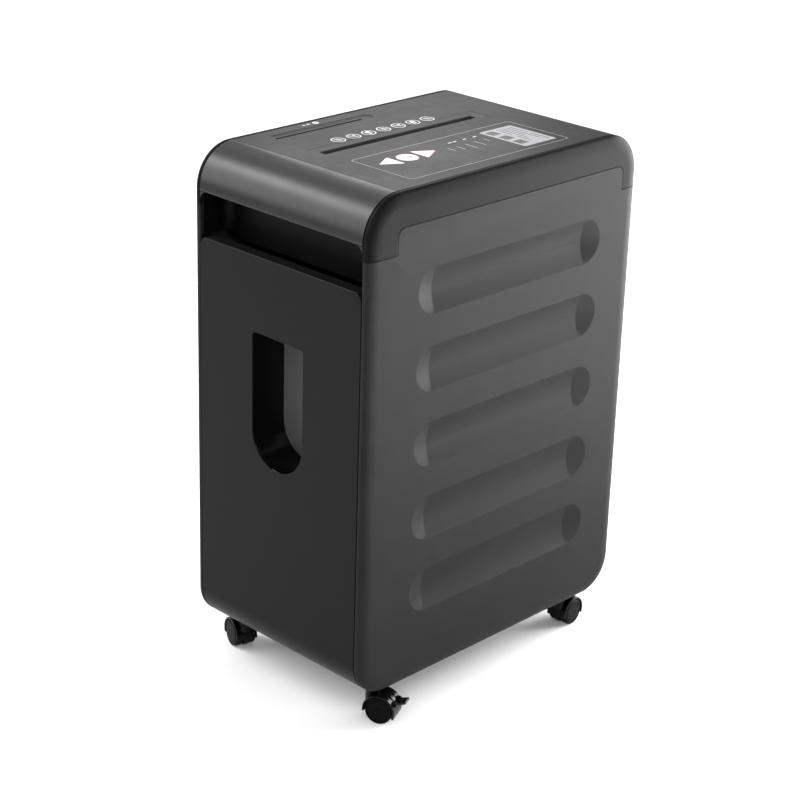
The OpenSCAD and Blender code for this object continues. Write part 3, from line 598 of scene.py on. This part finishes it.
def build_sides():
    cheek = side_shell()
    cheek.name = "head_right_cheek_shell"
    panel = add_object("right_side_panel_shell", cheek.data.copy())
    keep(panel, tongue_region("panel_space", -SEAM_GAP / 2))
    cut(cheek, tongue_region("cheek_space", SEAM_GAP / 2))
    dress_side(panel, "left_side_panel_shell", "side_shell", "side_shell",
               ("right_side_panel", "left_side_panel"))
    dress_side(cheek, "head_left_cheek_shell", "fascia", "cheek",
               ("head_right_cheek", "head_left_cheek"))


# ---- Cabinet ----

VENT_X = (25.0, 75.0)
VENT_Z = 450.0          # lower edge of the lowest vent slot
VENT_H = 3.5
VENT_PITCH = 7.0
VENT_COUNT = 7
GLAND_X, GLAND_Z = -85.0, 470.0
GLAND_R = 11.0          # flange of the gland
GLAND_NECK_R = 8.0
GLAND_SEAT = 1.5        # depth of the flange's seat


def rear_wall():
    """Rear wall that curls under the body, with its vent slots and the cable gland's seat."""
    middle = (rear_y - BOTTOM_R, z0 + BOTTOM_R)
    top = seam_z - SEAM_GAP / 2
    outer = arc(middle, BOTTOM_R, -89.4, 0, 14) + [(rear_y, top)]
    inner = arc(middle, BOTTOM_R - WALL, -89.4, 0, 14) + [(rear_y - WALL, top)]
    wall = prism("rear_wall", outer + inner[::-1], across_x, -shell_x, shell_x)
    through = (rear_y - 8, rear_y + 4)
    vents = []
    for i in range(VENT_COUNT):
        low_z = VENT_Z + VENT_PITCH * i
        slot = rectangle(VENT_X[0], low_z, VENT_X[1], low_z + VENT_H, 1.7)
        vents.append(prism("vent", slot, across_y, *through))
    seat = prism("seat", circle(GLAND_X, GLAND_Z, GLAND_R + FIT), across_y,
                 rear_y - GLAND_SEAT - FIT, rear_y + 4)
    hole = prism("hole", circle(GLAND_X, GLAND_Z, GLAND_NECK_R + FIT), across_y, *through)
    cut(wall, *vents, seat, hole)
    finish_edges(wall, 0.5)
    piece(wall, "cabinet", "side_shell", "back_panel")


def gland():
    to_rear = Matrix.Translation((GLAND_X, rear_y, GLAND_Z))
    to_rear = to_rear @ Matrix.Rotation(math.radians(90), 4, "X")
    profile = [(4.2, 18), (4.2, 1.2), (5.4, 0), (9.6, 0), (10.7, 0.5), (GLAND_R, 1.1),
               (GLAND_R, GLAND_SEAT), (GLAND_NECK_R, GLAND_SEAT), (GLAND_NECK_R, 17.4), (7.4, 18),
               (4.2, 18)]
    made = lathe("cable_bush", profile, to_rear)
    finish_edges(made, 0)
    piece(made, "cabinet", "gloss_black", "cable_gland")


def hand_recess():
    """The recess above the bin: one wall around three sides, with rounded inner corners."""
    back_y, wall_t, corner = recess_high.y - 2.5, 2.4, 11.0
    low, high = bin_front_high.z + 0.9, recess_high.z - 0.1
    reach = cover_x - 0.1
    start = front_y + 3.0
    inner = [(reach - wall_t, start)]
    inner += arc((reach - wall_t - corner, back_y - corner), corner, 0, 90, 8)
    inner += arc((-reach + wall_t + corner, back_y - corner), corner, 90, 180, 8)
    inner += [(-reach + wall_t, start)]
    outer = [(-reach, start), (-reach, back_y + wall_t), (reach, back_y + wall_t), (reach, start)]
    lining = prism("hand_recess_lining", inner + outer, across_z, low, high)
    apron = block("apron", (-reach, back_y, recess_low.z), (reach, back_y + wall_t, low + 5))
    join(lining, apron)
    finish_edges(lining, 0.5)
    piece(lining, "cabinet", "inner_plastic", "hand_recess_shell")


def bin_switch():
    """Switch above the bin's tab: a body and the plunger that the tab presses."""
    low, high = box_mm("bin_switch")
    body_low_z = high.z - 12
    made = block("bin_switch_body", (low.x, low.y, body_low_z), high, 0.6)
    finish_edges(made, 0)
    piece(made, "cabinet", "gloss_black", "bin_switch")
    plunger = block("bin_switch_plunger", (high.x - 2.4, -152, low.z),
                    (high.x, -150, body_low_z), 0.4)
    finish_edges(plunger, 0)
    piece(plunger, "cabinet", "icon_white")


# ---- Head ----

TOP_Z = z1 - PRINT_LIFT
FASCIA_Y = box_mm("head_front_fascia")[1].y
COVER_GAP = 0.9         # seam between the fascia and the top cover
LIP_R = 1.8             # rounding of the fascia's lower lip
OPEN_Z = (z1 - 8, z1 + 4)   # levels of the shapes that open the top cover

# Areas on the top, as low x, low y, high x, high y
THROAT = (-40.0, -127.0, -8.0, 117.0)
SLOT_LINE = (-24.0, -118.0, -24.0, 104.0)
SLOT_MOUTH_W = 8.8
SLOT_W = 6.0
CD_X = -95.0
CD_TROUGH_W = 16.0
CD_TROUGH = (CD_X - CD_TROUGH_W / 2, -123.0, CD_X + CD_TROUGH_W / 2, 20.0)
CD_SLOT = (CD_X - 1.4, -117.0, CD_X + 1.4, 6.0)
FILM = (film_low.x, film_low.y, film_high.x, film_high.y)
FILM_R = 5.0
FILM_Z = (z1 - 0.6, z1 - 0.08)
KEY_X = 43.3
KEY_Y = (-89.8, -65.5, -40.9)
ROUND_KEY_R = 11.5
TRIANGLE_KEY_R = 15.6


def grown(area, x, y=None):
    """An area grown on all sides, by x and, if it differs, by y."""
    y = x if y is None else y
    return (area[0] - x, area[1] - y, area[2] + x, area[3] + y)


def top_cover():
    """Top plate that curls down over the rear, with the openings of the slots and the panel."""
    middle = (rear_y - TOP_R, z1 - TOP_R)
    low_z = seam_z + SEAM_GAP / 2
    start = FASCIA_Y + COVER_GAP
    outer = [(rear_y, low_z)] + arc(middle, TOP_R, 0, 88, 14)
    outer += [(middle[0], TOP_Z), (start, TOP_Z)]
    inner = [(start, z1 - WALL), (middle[0], z1 - WALL)] + arc(middle, TOP_R - WALL, 90, 0, 14)
    inner += [(rear_y - WALL, low_z)]
    cover = prism("top_cover_shell", outer + inner, across_x, -shell_x, shell_x)
    dish = prism("dish", rectangle(*THROAT, 3), across_z, *OPEN_Z)
    trough = prism("trough", rectangle(*CD_TROUGH, CD_TROUGH_W / 2 - 0.5, 8), across_z, *OPEN_Z)
    pocket = prism("pocket", rectangle(*grown(FILM, 0.15), FILM_R), across_z, FILM_Z[0], z1 + 4)
    keys = [prism("key", outline, across_z, *OPEN_Z) for outline in key_outlines(0.45)]
    cut(cover, dish, trough, pocket, *keys)
    finish_edges(cover, 0.5, limit=40)
    piece(cover, "cabinet", "top_cover", "head_top_cover")


def fascia():
    """Glossy quarter-round front of the head, with the lip that roofs the hand recess."""
    low_z, roof_y = recess_high.z, recess_high.y
    middle = (front_y + TOP_R, z1 - TOP_R)
    outer = arc((front_y + LIP_R, low_z + LIP_R), LIP_R, 270, 180, 5)
    outer += arc(middle, TOP_R, 180, 90, 28)[:-1]
    outer += [(FASCIA_Y, z1), (FASCIA_Y, z1 - WALL)]
    inner = arc(middle, TOP_R - WALL, 90, 180, 20) + [(front_y + WALL, low_z + WALL)]
    inner += [(roof_y, low_z + WALL), (roof_y, low_z)]
    made = prism("front_fascia_shell", (outer + inner)[::-1], across_x, -shell_x, shell_x)
    finish_edges(made, 0.7, limit=50)
    piece(made, "cabinet", "fascia", "head_front_fascia")


def recess_corner(side):
    """Web that rounds an upper corner of the hand recess's opening."""
    corner, low_z = 9.0, recess_high.z
    centre = (side * (shell_x - corner), low_z - corner)
    outline = arc(centre, corner, 90, 0, 8) if side > 0 else arc(centre, corner, 90, 180, 8)
    outline += [(side * shell_x, low_z)]
    made = prism("recess_corner_" + ("right" if side > 0 else "left"),
                 outline if side < 0 else outline[::-1], across_y, front_y + 0.2, front_y + 2.6)
    finish_edges(made, 0.5)
    piece(made, "cabinet", "fascia")


def key_outlines(grow):
    """Outlines of the three keys: a triangle to the front, a disc, a triangle to the rear."""
    made = []
    for y, angle in ((KEY_Y[0], -90), (KEY_Y[2], 90)):
        radius = TRIANGLE_KEY_R + 2 * grow
        corners = [(KEY_X + radius * math.cos(math.radians(angle + 120 * i)),
                    y + radius * math.sin(math.radians(angle + 120 * i)), 0.9) for i in range(3)]
        made.append(fillet(corners, 4))
    made.insert(1, circle(KEY_X, KEY_Y[1], ROUND_KEY_R + grow))
    return made


def funnel(name, node, steps, levels):
    """A slot's funnel, through rings of (area, corner radius, height) from outside to inside."""
    solid = Solid()
    solid.tube([[(u, v, z) for u, v in rectangle(*area, radius, steps)]
                for area, radius, z in levels])
    made = solid.object(name)
    finish_edges(made, 0, sharp=30)
    piece(made, "cabinet", "top_cover", node)


def paper_throat():
    """Shallow dish around the paper slot, and the funnel below it."""
    low_z, funnel_z = box_mm("paper_throat")[0].z, 567.0
    under = z1 - WALL
    half_mouth, half_slot = SLOT_MOUTH_W / 2, SLOT_W / 2
    funnel("paper_slot_funnel", "paper_throat", 4, [
        (grown(SLOT_LINE, 9, 2.5), 1.5, low_z), (grown(SLOT_LINE, 9, 2.5), 1.5, under - 2.6),
        (grown(THROAT, 3), 4, under - 2.6), (grown(THROAT, 3), 4, under - 0.1),
        (grown(THROAT, -0.1), 2.9, under - 0.1), (grown(THROAT, -0.1), 2.9, TOP_Z - 0.3),
        (grown(THROAT, -0.6), 2.5, TOP_Z - 0.15),
        (grown(SLOT_LINE, half_mouth + 0.6, 1.2), 1.6, z1 - 1.0),
        (grown(SLOT_LINE, half_mouth, 0), 1.2, z1 - 1.5),
        (grown(SLOT_LINE, half_slot, -0.5), 0.8, funnel_z),
        (grown(SLOT_LINE, half_slot, -0.5), 0.8, low_z),
    ])


def cd_throat():
    """Shallow trough of the CD slot, with rounded ends and a narrow slot in its floor."""
    low_z = box_mm("cd_throat")[0].z
    under = z1 - WALL - 0.1
    funnel("cd_slot_trough", "cd_throat", 6, [
        (grown(CD_SLOT, 2), 2.5, low_z), (grown(CD_SLOT, 2), 2.5, under - 2.5),
        (grown(CD_TROUGH, 3), 9, under - 2.5), (grown(CD_TROUGH, 3), 9, under),
        (grown(CD_TROUGH, -0.1), 7.4, under), (grown(CD_TROUGH, -0.1), 7.4, TOP_Z - 0.3),
        (grown(CD_TROUGH, -0.5), 7.0, TOP_Z - 0.2), (grown(CD_TROUGH, -3.6), 3.9, z1 - 1.6),
        (grown(CD_SLOT, 0.5), 1.7, z1 - 1.7), (grown(CD_SLOT, 0.1), 1.3, z1 - 1.9),
        (CD_SLOT, 1.2, z1 - 2.4), (CD_SLOT, 1.2, low_z),
    ])


def control_film():
    film = prism("control_film", rectangle(*FILM, FILM_R), across_z, FILM_Z[0] + 0.02, FILM_Z[1])
    keys = [prism("key", outline, across_z, z1 - 4, z1 + 4) for outline in key_outlines(0.4)]
    cut(film, *keys)
    finish_edges(film, 0.12)
    piece(film, "cabinet", "panel_film", "control_panel")


def printed(name, outlines, ink_and_glow="icon_white", body="cabinet", holes=(), z=FILM_Z[1], rise=0.04):
    """Printed marks, and the painted red glow of the keys, a few hundredths of a millimetre thick, all in one
    piece.
    """
    solid = Solid()
    for index, outline in enumerate(outlines):
        inner = [hole for owner, hole in holes if owner == index]
        sheets = [[solid.ring([(u, v, level) for u, v in points]) for points in [outline] + inner]
                  for level in (z - 0.01, z + rise)]
        for a, b in zip(*sheets):
            solid.wall(a, b)
        for sheet in sheets:
            if inner:
                solid.fill(sheet)
            else:
                solid.cap(sheet[0])
    piece(solid.object(name), body, "icon_white", material=MATERIALS[ink_and_glow])


def bar(x, y, length, width, angle=0.0, radius=0.0):
    """Outline of a short bar around a centre, turned by an angle in degrees."""
    turn = math.radians(angle)
    cos, sin = math.cos(turn), math.sin(turn)
    points = rectangle(-length / 2, -width / 2, length / 2, width / 2, radius, 3)
    return [(x + u * cos - v * sin, y + u * sin + v * cos) for u, v in points]


def ring_mark(x, y, radius, width, steps=40):
    return circle(x, y, radius, steps), circle(x, y, radius - width, steps)


# ---- Control panel and print ----

PICTOGRAM_X = -47.5
PICTOGRAM_Y = -74.0     # the first one, nearest to the front
PICTOGRAM_PITCH = 21.8
DISC_X, DISC_Y = -111.0, -46.5
LAMP_X, LAMP_YS = 33.7, (6.0, 13.3, 28.0, 43.2)
LABEL = (27.0, 57.0, 92.0, 106.0)


def key_caps():
    for name, y, outline in zip(("reverse", "power", "forward"), KEY_Y, key_outlines(0)):
        low_z = box_mm("button_" + name)[0].z
        cap = prism(name + "_key_cap", outline, across_z, z1 - 4.2, z1, 0.5, 3)
        stem = lathe("stem", [(0, low_z), (2.6, low_z), (3, low_z + 0.4), (3, z1 - 4), (0, z1 - 4)],
                     Matrix.Translation((KEY_X, y, 0)), 32)
        join(cap, stem)
        finish_edges(cap, 0, sharp=40)
        piece(cap, name + "_button", "icon_white", "button_" + name)


def pictograms():
    """Seven round marks beside the paper slot, each with a plain generic sign in it."""
    for index in range(7):
        x, y = PICTOGRAM_X, PICTOGRAM_Y + PICTOGRAM_PITCH * index
        outline, hole = ring_mark(x, y, 8.0, 1.1)
        marks = [outline]
        if index % 3 == 0:
            marks += [bar(x, y + 2.0, 8.0, 1.4, 30), bar(x, y - 1.2, 8.0, 1.4, 30)]
        elif index % 3 == 1:
            marks += [bar(x, y, 11.0, 1.5, 45), circle(x - 2.6, y + 2.6, 1.5, 16)]
        else:
            marks += [bar(x - 1.5, y, 5.5, 6.0, 20, 0.8), bar(x + 3.6, y, 1.4, 6.0, 20)]
        printed("pictogram_%d" % (index + 1), marks, holes=[(0, hole)], z=TOP_Z)
    disc, hole = ring_mark(DISC_X, DISC_Y, 3.6, 2.2, 24)
    bars = [bar(DISC_X, DISC_Y - 10.5, 1.6, 5.0), bar(DISC_X, DISC_Y - 17, 1.6, 4.0)]
    printed("disc_mark", [disc] + bars, holes=[(0, hole)], z=TOP_Z)


def panel_print():
    """Outline of the film, the lamps with their scale lines, and a label with generic blocks."""
    edge = rectangle(*grown(FILM, -0.5), FILM_R - 0.4)
    inside = rectangle(*grown(FILM, -1.3), FILM_R - 1.2)
    printed("panel_outline", [edge], "ink_grey", holes=[(0, inside)])
    printed("panel_lamps", [bar(LAMP_X, y, 5.0, 1.6, 90, 0.5) for y in LAMP_YS])
    # the scale's lines, each as y and both ends in x
    lines = ((-10.5, 46.5, 57.7), (1.5, 47.7, 60.5), (15.0, 46.7, 65.5), (30.0, 45.4, 62.0),
             (44.0, 45.3, 54.0))
    printed("panel_scale", [bar((a + b) / 2, y, b - a, 1.1) for y, a, b in lines], "ink_grey")
    printed("panel_label", [rectangle(*LABEL, 2.0)], "label_grey")
    blocks = [rectangle(x, 60.5, x + 13, 73, 1.0, 3) for x in (31.5, 51.0, 70.5)]
    blocks += [rectangle(31.5, y, 31.5 + width, y + 1.6) for y, width in
               ((79, 22), (84, 40), (89, 31), (94, 46), (99, 26))]
    blocks += [rectangle(60, y, 60 + width, y + 1.6) for y, width in ((79, 20), (99, 27))]
    printed("label_blocks", blocks, "ink_dark", z=FILM_Z[1] + 0.04, rise=0.02)


def key_marks():
    """A faint sign on each key, and the red light around the power and forward keys, painted as a flat red sheet:
    no lamp.
    """
    ring, hole = ring_mark(KEY_X, KEY_Y[1], 5.0, 1.0, 32)
    signs = (("reverse", [bar(KEY_X, KEY_Y[0] + 2.5, 6.0, 1.0, 90)], ()),
             ("forward", [bar(KEY_X, KEY_Y[2] - 2.5, 6.0, 1.0, 90)], ()),
             ("power", [ring, bar(KEY_X, KEY_Y[1] + 2.6, 5.0, 1.0, 90)], [(0, hole)]))
    for name, marks, holes in signs:
        printed(name + "_key_sign", marks, "ink_grey", name + "_button", holes, z1 - 0.005, 0.005)
    # The red rings are painted glow: flat red sheets that stand in for the keys' light, not lamps.
    glow = [(outer, inner) for outer, inner in zip(key_outlines(0.85), key_outlines(0.45))][1:]
    printed("key_light", [outer for outer, _ in glow], "painted_red_glow",
            holes=[(i, inner) for i, (_, inner) in enumerate(glow)])


# ---- Bin ----

WINDOW_HALF = 37.5
WINDOW_TOP = 407.6
WINDOW_MIDDLE = 301.0   # height of the centre of the window's round lower end
WINDOW_R = 4.0          # rounding of its upper corners
SLEEVE_T = 2.5          # wall of the sleeve that lines the window
BIN_SKIN = 0.7          # what is left of the bin front before the sleeve's rim


def window_outline(grow):
    """The window's outline, grown outward."""
    half, corner, top = WINDOW_HALF + grow, WINDOW_R + grow, WINDOW_TOP + grow
    points = arc((0, WINDOW_MIDDLE), half, 180, 360, 20)
    points += arc((half - corner, top - corner), corner, 0, 90, 5)
    points += arc((-half + corner, top - corner), corner, 90, 180, 5)
    return points


def bin_front():
    """Front of the bin: a plain plate that curls under, with a ledge behind its top edge."""
    top, top_r = bin_front_high.z, 1.8
    middle = (front_y + BOTTOM_R, z0 + BOTTOM_R)
    ledge_y = front_y + 14
    outline = arc(middle, BOTTOM_R, 259.1, 180, 16)
    outline += arc((front_y + top_r, top - top_r), top_r, 180, 90, 5)
    outline += [(ledge_y, top), (ledge_y, top - WALL), (front_y + WALL, top - WALL)]
    outline += arc(middle, BOTTOM_R - WALL, 180, 258.3, 16)
    front = prism("bin_front_plate", outline, across_x, -bin_half_w, bin_half_w)
    keep(front, prism("space", rectangle(-bin_half_w, z0 - 30, bin_half_w, top, 10.5, 10), across_y,
                      front_y - 5, front_y + 60))
    cut(front, prism("window", window_outline(0.3), across_y, front_y - 5, front_y + 8),
        prism("sleeve_seat", window_outline(SLEEVE_T + FIT), across_y, front_y + BIN_SKIN,
              front_y + 8))
    finish_edges(front, 0.5, limit=60)
    piece(front, "bin", "bin_front", "bin_front_panel")


def bin_box():
    """Open box with rounded corners, its front strip and the tab that works the switch."""
    low, high = box_mm("bin_body")
    rim, wall_t, slope = 470.0, 2.5, 30.0

    def shape(name, shrink, top, edge):
        step = slope - shrink * (2 - math.sqrt(2))
        low_y, high_y, low_z = low.y + shrink, high.y - shrink, low.z + shrink
        corners = [(low_y + step, low_z, 12), (high_y, low_z, 7), (high_y, top, 0), (low_y, top, 0),
                   (low_y, low_z + step, 12)]
        return prism(name, fillet(corners, 5), across_x, low.x + shrink, high.x - shrink, edge, 4)

    box = shape("bin_box", 0, rim + 20, 4.0)
    cut(box, shape("hollow", wall_t, rim + 40, 2.5),
        block("above", (-150, -250, rim), (150, 250, rim + 50)))
    strip = block("strip", (low.x + 8, low.y, rim - 5),
                  (high.x - 8, low.y + wall_t, bin_front_high.z - 3))
    tab = block("tab", (high.x - wall_t, -155, rim - 5), (high.x, -147, high.z))
    join(box, strip, tab)
    cut(box, prism("window", window_outline(SLEEVE_T + FIT), across_y, low.y - 5, low.y + 8))
    finish_edges(box, 0.5)
    piece(box, "bin", "inner_plastic", "bin_body")


def window_parts():
    """The window's glossy sleeve, narrower in its rear part, and the pane at its rear end."""
    rear, step, rim = box_mm("bin_window_pane")[1].y, front_y + 20, front_y + BIN_SKIN + 0.1
    levels = [(SLEEVE_T, rear), (SLEEVE_T, rim + 0.2), (SLEEVE_T - 0.2, rim), (0.2, rim),
              (0.0, rim + 0.2), (0.0, step), (-0.35, step + 0.5), (-0.35, rear)]
    solid = Solid()
    solid.tube([[(u, y, v) for u, v in window_outline(grow)] for grow, y in levels])
    tunnel = solid.object("bin_window_sleeve")
    finish_edges(tunnel, 0, sharp=40)
    piece(tunnel, "bin", "gloss_black", "bin_window_tunnel")
    pane = prism("bin_window_sheet", window_outline(-0.45), across_y, rear - 1.2, rear - 0.02, 0.2)
    finish_edges(pane, 0, sharp=40)
    piece(pane, "bin", "smoked_pane", "bin_window_pane")


# ---- Casters ----

# name, heading in degrees, braked or not
CASTERS = (("front_right", 24.0, True), ("front_left", 162.4, False),
           ("rear_right", 96.0, False), ("rear_left", 204.0, True))
PIVOTS = {joint["name"]: Vector(joint["pos_m"]) / MM
          for joint in frame["joints"] if "pos_m" in joint}
TRAIL = 11.0            # from the swivel's axis to the wheels' axis
WHEEL_R, CASTER_W = 15.0, 25.0
HOOD_R, HOOD_INNER_R = 18.2, 15.8
WEB_HALF = 2.5          # half the thickness of the web between the wheels
EAR_Y = 7.4             # middle of the ears that hold the lever's pin
LEVER_R, LEVER_Z = 18.0, 25.0   # place of the pin behind the wheels' axis, and its height


def placed(obj, matrix):
    """Moves a piece's mesh by a matrix in millimetres."""
    move = matrix.copy()
    move.translation = move.translation * MM
    obj.data.transform(move)
    return obj


def caster_hood(name, braked):
    """Hood over the wheels, the web between them, the stem and, with a brake, the lever's ears."""
    half = CASTER_W / 2
    shell = arc((TRAIL, WHEEL_R), HOOD_R, -22, 188, 36)
    shell += arc((TRAIL, WHEEL_R), HOOD_INNER_R, 188, -22, 36)
    hood = prism(name, shell, across_y, -half, half, 1.0, 3)
    web_arc = arc((TRAIL, WHEEL_R), HOOD_INNER_R + 0.6, -42, 222, 40)
    web = prism("web", web_arc, across_y, -WEB_HALF, WEB_HALF)
    neck = lathe("neck", [(0, 22), (7.5, 22), (7.5, 33), (8.4, 37), (9.5, 39), (9.5, 43.6),
                          (9.0, 44.2), (4, 44.2), (4, 65), (3.5, 65.5), (0, 65.5)],
                 Matrix.Identity(4), 48)
    for side in (-1, 1):
        levels = sorted((side * WEB_HALF, side * (half + 2)))
        space = circle(TRAIL, WHEEL_R, HOOD_INNER_R, 72)
        cut(neck, prism("wheel_space", space, across_y, *levels))
    join(hood, web, neck)
    if braked:
        corners = [(TRAIL + 13.5, LEVER_Z - 4, 1), (TRAIL + LEVER_R + 1.5, LEVER_Z - 2.4, 2),
                   (TRAIL + LEVER_R + 1.5, LEVER_Z + 2.4, 2), (TRAIL + 13, LEVER_Z + 2.4, 1)]
        ears = [prism("ear", fillet(corners, 4), across_y, y - 1, y + 1) for y in (-EAR_Y, EAR_Y)]
        join(hood, *ears)
        notches = [block("notch", (TRAIL + 8, y, WHEEL_R + 9), (TRAIL + 24, y + 2.5, WHEEL_R + 16))
                   for y in (-5.2, 2.7)]
        cut(hood, *notches)
    finish_edges(hood, 0.35, limit=60)
    return hood


def caster_wheel(name, side):
    """One wheel with a rounded tread, a shallow ring and a hub mark on its outer face."""
    inner, outer = 3.0, CASTER_W / 2 - 0.2
    profile = [(3.1, inner), (5.5, inner), (5.5, inner + 3.5), (12, inner + 3.5), (12, inner),
               (13.4, inner), (14.5, inner + 0.5), (WHEEL_R, inner + 1.6), (WHEEL_R, outer - 1.8),
               (14.7, outer - 0.8), (13.9, outer - 0.2), (12.9, outer), (12.4, outer - 0.1),
               (12.2, outer - 0.6), (11.8, outer - 0.6), (11.6, outer - 0.1), (8, outer),
               (4.4, outer), (4.2, outer - 0.3), (3.6, outer - 0.3), (3.4, outer), (0, outer),
               (0, outer - 1), (3.1, outer - 1), (3.1, inner)]
    to_side = Matrix.Translation((TRAIL, 0, WHEEL_R))
    to_side = to_side @ Matrix.Rotation(math.radians(-90 * side), 4, "X")
    wheel = lathe(name, profile, to_side, 72)
    finish_edges(wheel, 0, sharp=40)
    return wheel


def brake_lever(name):
    """Foot lever with a barrel around its pin. Its rim is rounded by less than its corners are."""
    pin_x = TRAIL + LEVER_R
    corners = [(pin_x - 0.4, LEVER_Z - 1.5, 0.8), (pin_x + 10.8, LEVER_Z + 2, 0.8),
               (pin_x + 10.2, LEVER_Z + 4.8, 1.2), (pin_x - 0.8, LEVER_Z + 1.4, 0.8)]
    lever = prism(name, fillet(corners, 4), across_y, -6.2, 6.2, 0.5, 3)
    pin = prism("pin", circle(pin_x, LEVER_Z, 1.2, 24), across_y, -8.4, 8.4, 0.3)
    barrel = prism("barrel", circle(pin_x, LEVER_Z, 2.0, 32), across_y, -6.1, 6.1, 0.4)
    join(lever, barrel, pin)
    finish_edges(lever, 0, sharp=40)
    return lever


def build_casters():
    for name, heading, braked in CASTERS:
        pivot = PIVOTS[name + "_swivel_turn"]
        place = Matrix.Translation((pivot.x, pivot.y, 0))
        place = place @ Matrix.Rotation(math.radians(heading), 4, "Z")
        hood = placed(caster_hood(name + "_caster_hood", braked), place)
        piece(hood, name + "_swivel", "caster_plastic", name + "_hood")
        outer_side = 1 if name == "front_left" else -1
        for role, side in (("outer", outer_side), ("inner", -outer_side)):
            wheel = placed(caster_wheel(name + "_caster_wheel_" + role, side), place)
            piece(wheel, name + "_" + role, "caster_tread", name + "_wheel_" + role)
        if braked:
            lever = placed(brake_lever(name + "_caster_lever"), place)
            piece(lever, name + "_brake", "caster_plastic", name + "_brake_lever")


# ---- CAD nodes that are shown as they are ----

def dress_carried_nodes():
    for entry in frame["record"]["subparts"]:
        obj = frame["nodes"][entry["node"]]
        obj.data.materials.clear()
        obj.data.materials.append(MATERIALS[entry["material_slot"]])


# ---- Stage, light and camera: the floor and the lamps are in metres and watts ----

def stage_floor():
    mesh = bpy.data.meshes.new("studio_floor")
    reach = 12.0
    corners = [(-reach, -reach, 0), (reach, -reach, 0), (reach, reach, 0), (-reach, reach, 0)]
    mesh.from_pydata(corners, [], [(0, 1, 2, 3)])
    floor = add_object("studio_floor", mesh)
    material, _, _, shader = new_material("studio_floor")
    set_inputs(shader, {"Base Color": (0.88, 0.88, 0.88, 1), "Roughness": 0.6,
                        "Specular IOR Level": 0.1})
    mesh.materials.append(material)


def softbox(name, where, towards, width, height, power):
    """A rectangular lamp that faces a point."""
    light = bpy.data.lights.new(name, "AREA")
    light.shape = "RECTANGLE"
    light.size = width
    light.size_y = height
    light.energy = power
    lamp = add_object(name, light)
    lamp.location = where
    aim = Vector(towards) - Vector(where)
    lamp.rotation_euler = aim.to_track_quat("-Z", "Y").to_euler()


def floor_light(name, x, y, z, size, power, angle):
    """A square lamp that faces down and whitens one part of the floor."""
    softbox(name, (x, y, z), (x, y + 0.001, 0), size, size, power)
    bpy.data.lights[name].spread = math.radians(angle)


def lighting():
    world = bpy.data.worlds.new("studio")
    bpy.context.scene.world = world
    world.use_nodes = True
    set_inputs(world.node_tree.nodes["Background"], {"Color": (1, 1, 1, 1), "Strength": 0.42})
    softbox("overhead", (0, 0, 3.5), (0, 0, 0), 4.0, 4.0, 20)
    softbox("side_box", (0.57, 1.35, 0.6), (0.1, 0.1, 0.6), 1.2, 1.2, 69)
    softbox("rear_near", (-0.486, 0.445, 0.909), (0.05, -0.05, 0.583), 0.4, 0.25, 1.05)
    softbox("left_high", (-1.6, -0.2, 2.3), (0, -0.15, 0.58), 2.2, 0.8, 8)
    softbox("front_mid", (-1.4, -1.1, 1.9), (0, -0.2, 0.56), 1.0, 0.5, 26)
    softbox("front_strip", (-1.5, -1.7, 1.2), (0, -0.15, 0.55), 1.8, 1.2, 28)
    softbox("camera_fill", (1.6, -1.8, 1.6), (0, 0, 0.3), 1.5, 1.5, 36)
    floor_light("far_floor", -2.1, 2.5, 2.5, 3.4, 54, 120)
    floor_light("side_floor", 1.15, 0.45, 0.6, 0.3, 38, 80)
    floor_light("rear_floor", 0.92, 1.05, 0.7, 0.5, 9, 90)


VIEW_AZIMUTH, VIEW_ELEVATION, VIEW_ROLL = 44.01, 22.54, 1.75
VIEW_ACROSS, VIEW_Z = -14.4, 288.4      # the point in the picture's middle, in mm
VIEW_DISTANCE = 2279    # from that point, in mm
VIEW_LENS = 94.42


def camera():
    """The photo's point of view, found by fitting the body's corners."""
    azimuth, elevation, roll = (math.radians(a) for a in (VIEW_AZIMUTH, VIEW_ELEVATION, VIEW_ROLL))
    side = Vector((math.cos(azimuth), math.sin(azimuth), 0))
    back = Vector((math.sin(azimuth) * math.cos(elevation), -math.cos(azimuth) * math.cos(elevation),
                   math.sin(elevation)))
    target = side * VIEW_ACROSS + Vector((0, 0, VIEW_Z))
    right = (-back).cross(Vector((0, 0, 1))).normalized()
    up = right.cross(-back)
    turned_right = right * math.cos(roll) + up * math.sin(roll)
    turned_up = -right * math.sin(roll) + up * math.cos(roll)
    matrix = Matrix((turned_right, turned_up, back)).transposed().to_4x4()
    matrix.translation = (target + back * VIEW_DISTANCE) * MM
    data = bpy.data.cameras.new("photo_view")
    data.lens = VIEW_LENS
    data.sensor_width = 36
    data.clip_end = 100
    view = add_object("photo_view", data)
    view.matrix_world = matrix
    bpy.context.scene.camera = view


# ---- Assembly ----

dress_carried_nodes()
build_sides()
rear_wall()
gland()
hand_recess()
bin_switch()
top_cover()
fascia()
recess_corner(-1)
recess_corner(1)
paper_throat()
cd_throat()
control_film()
key_caps()
pictograms()
panel_print()
key_marks()
bin_front()
bin_box()
window_parts()
build_casters()
stage_floor()
lighting()
camera()
bpy.context.scene.view_settings.view_transform = "Standard"
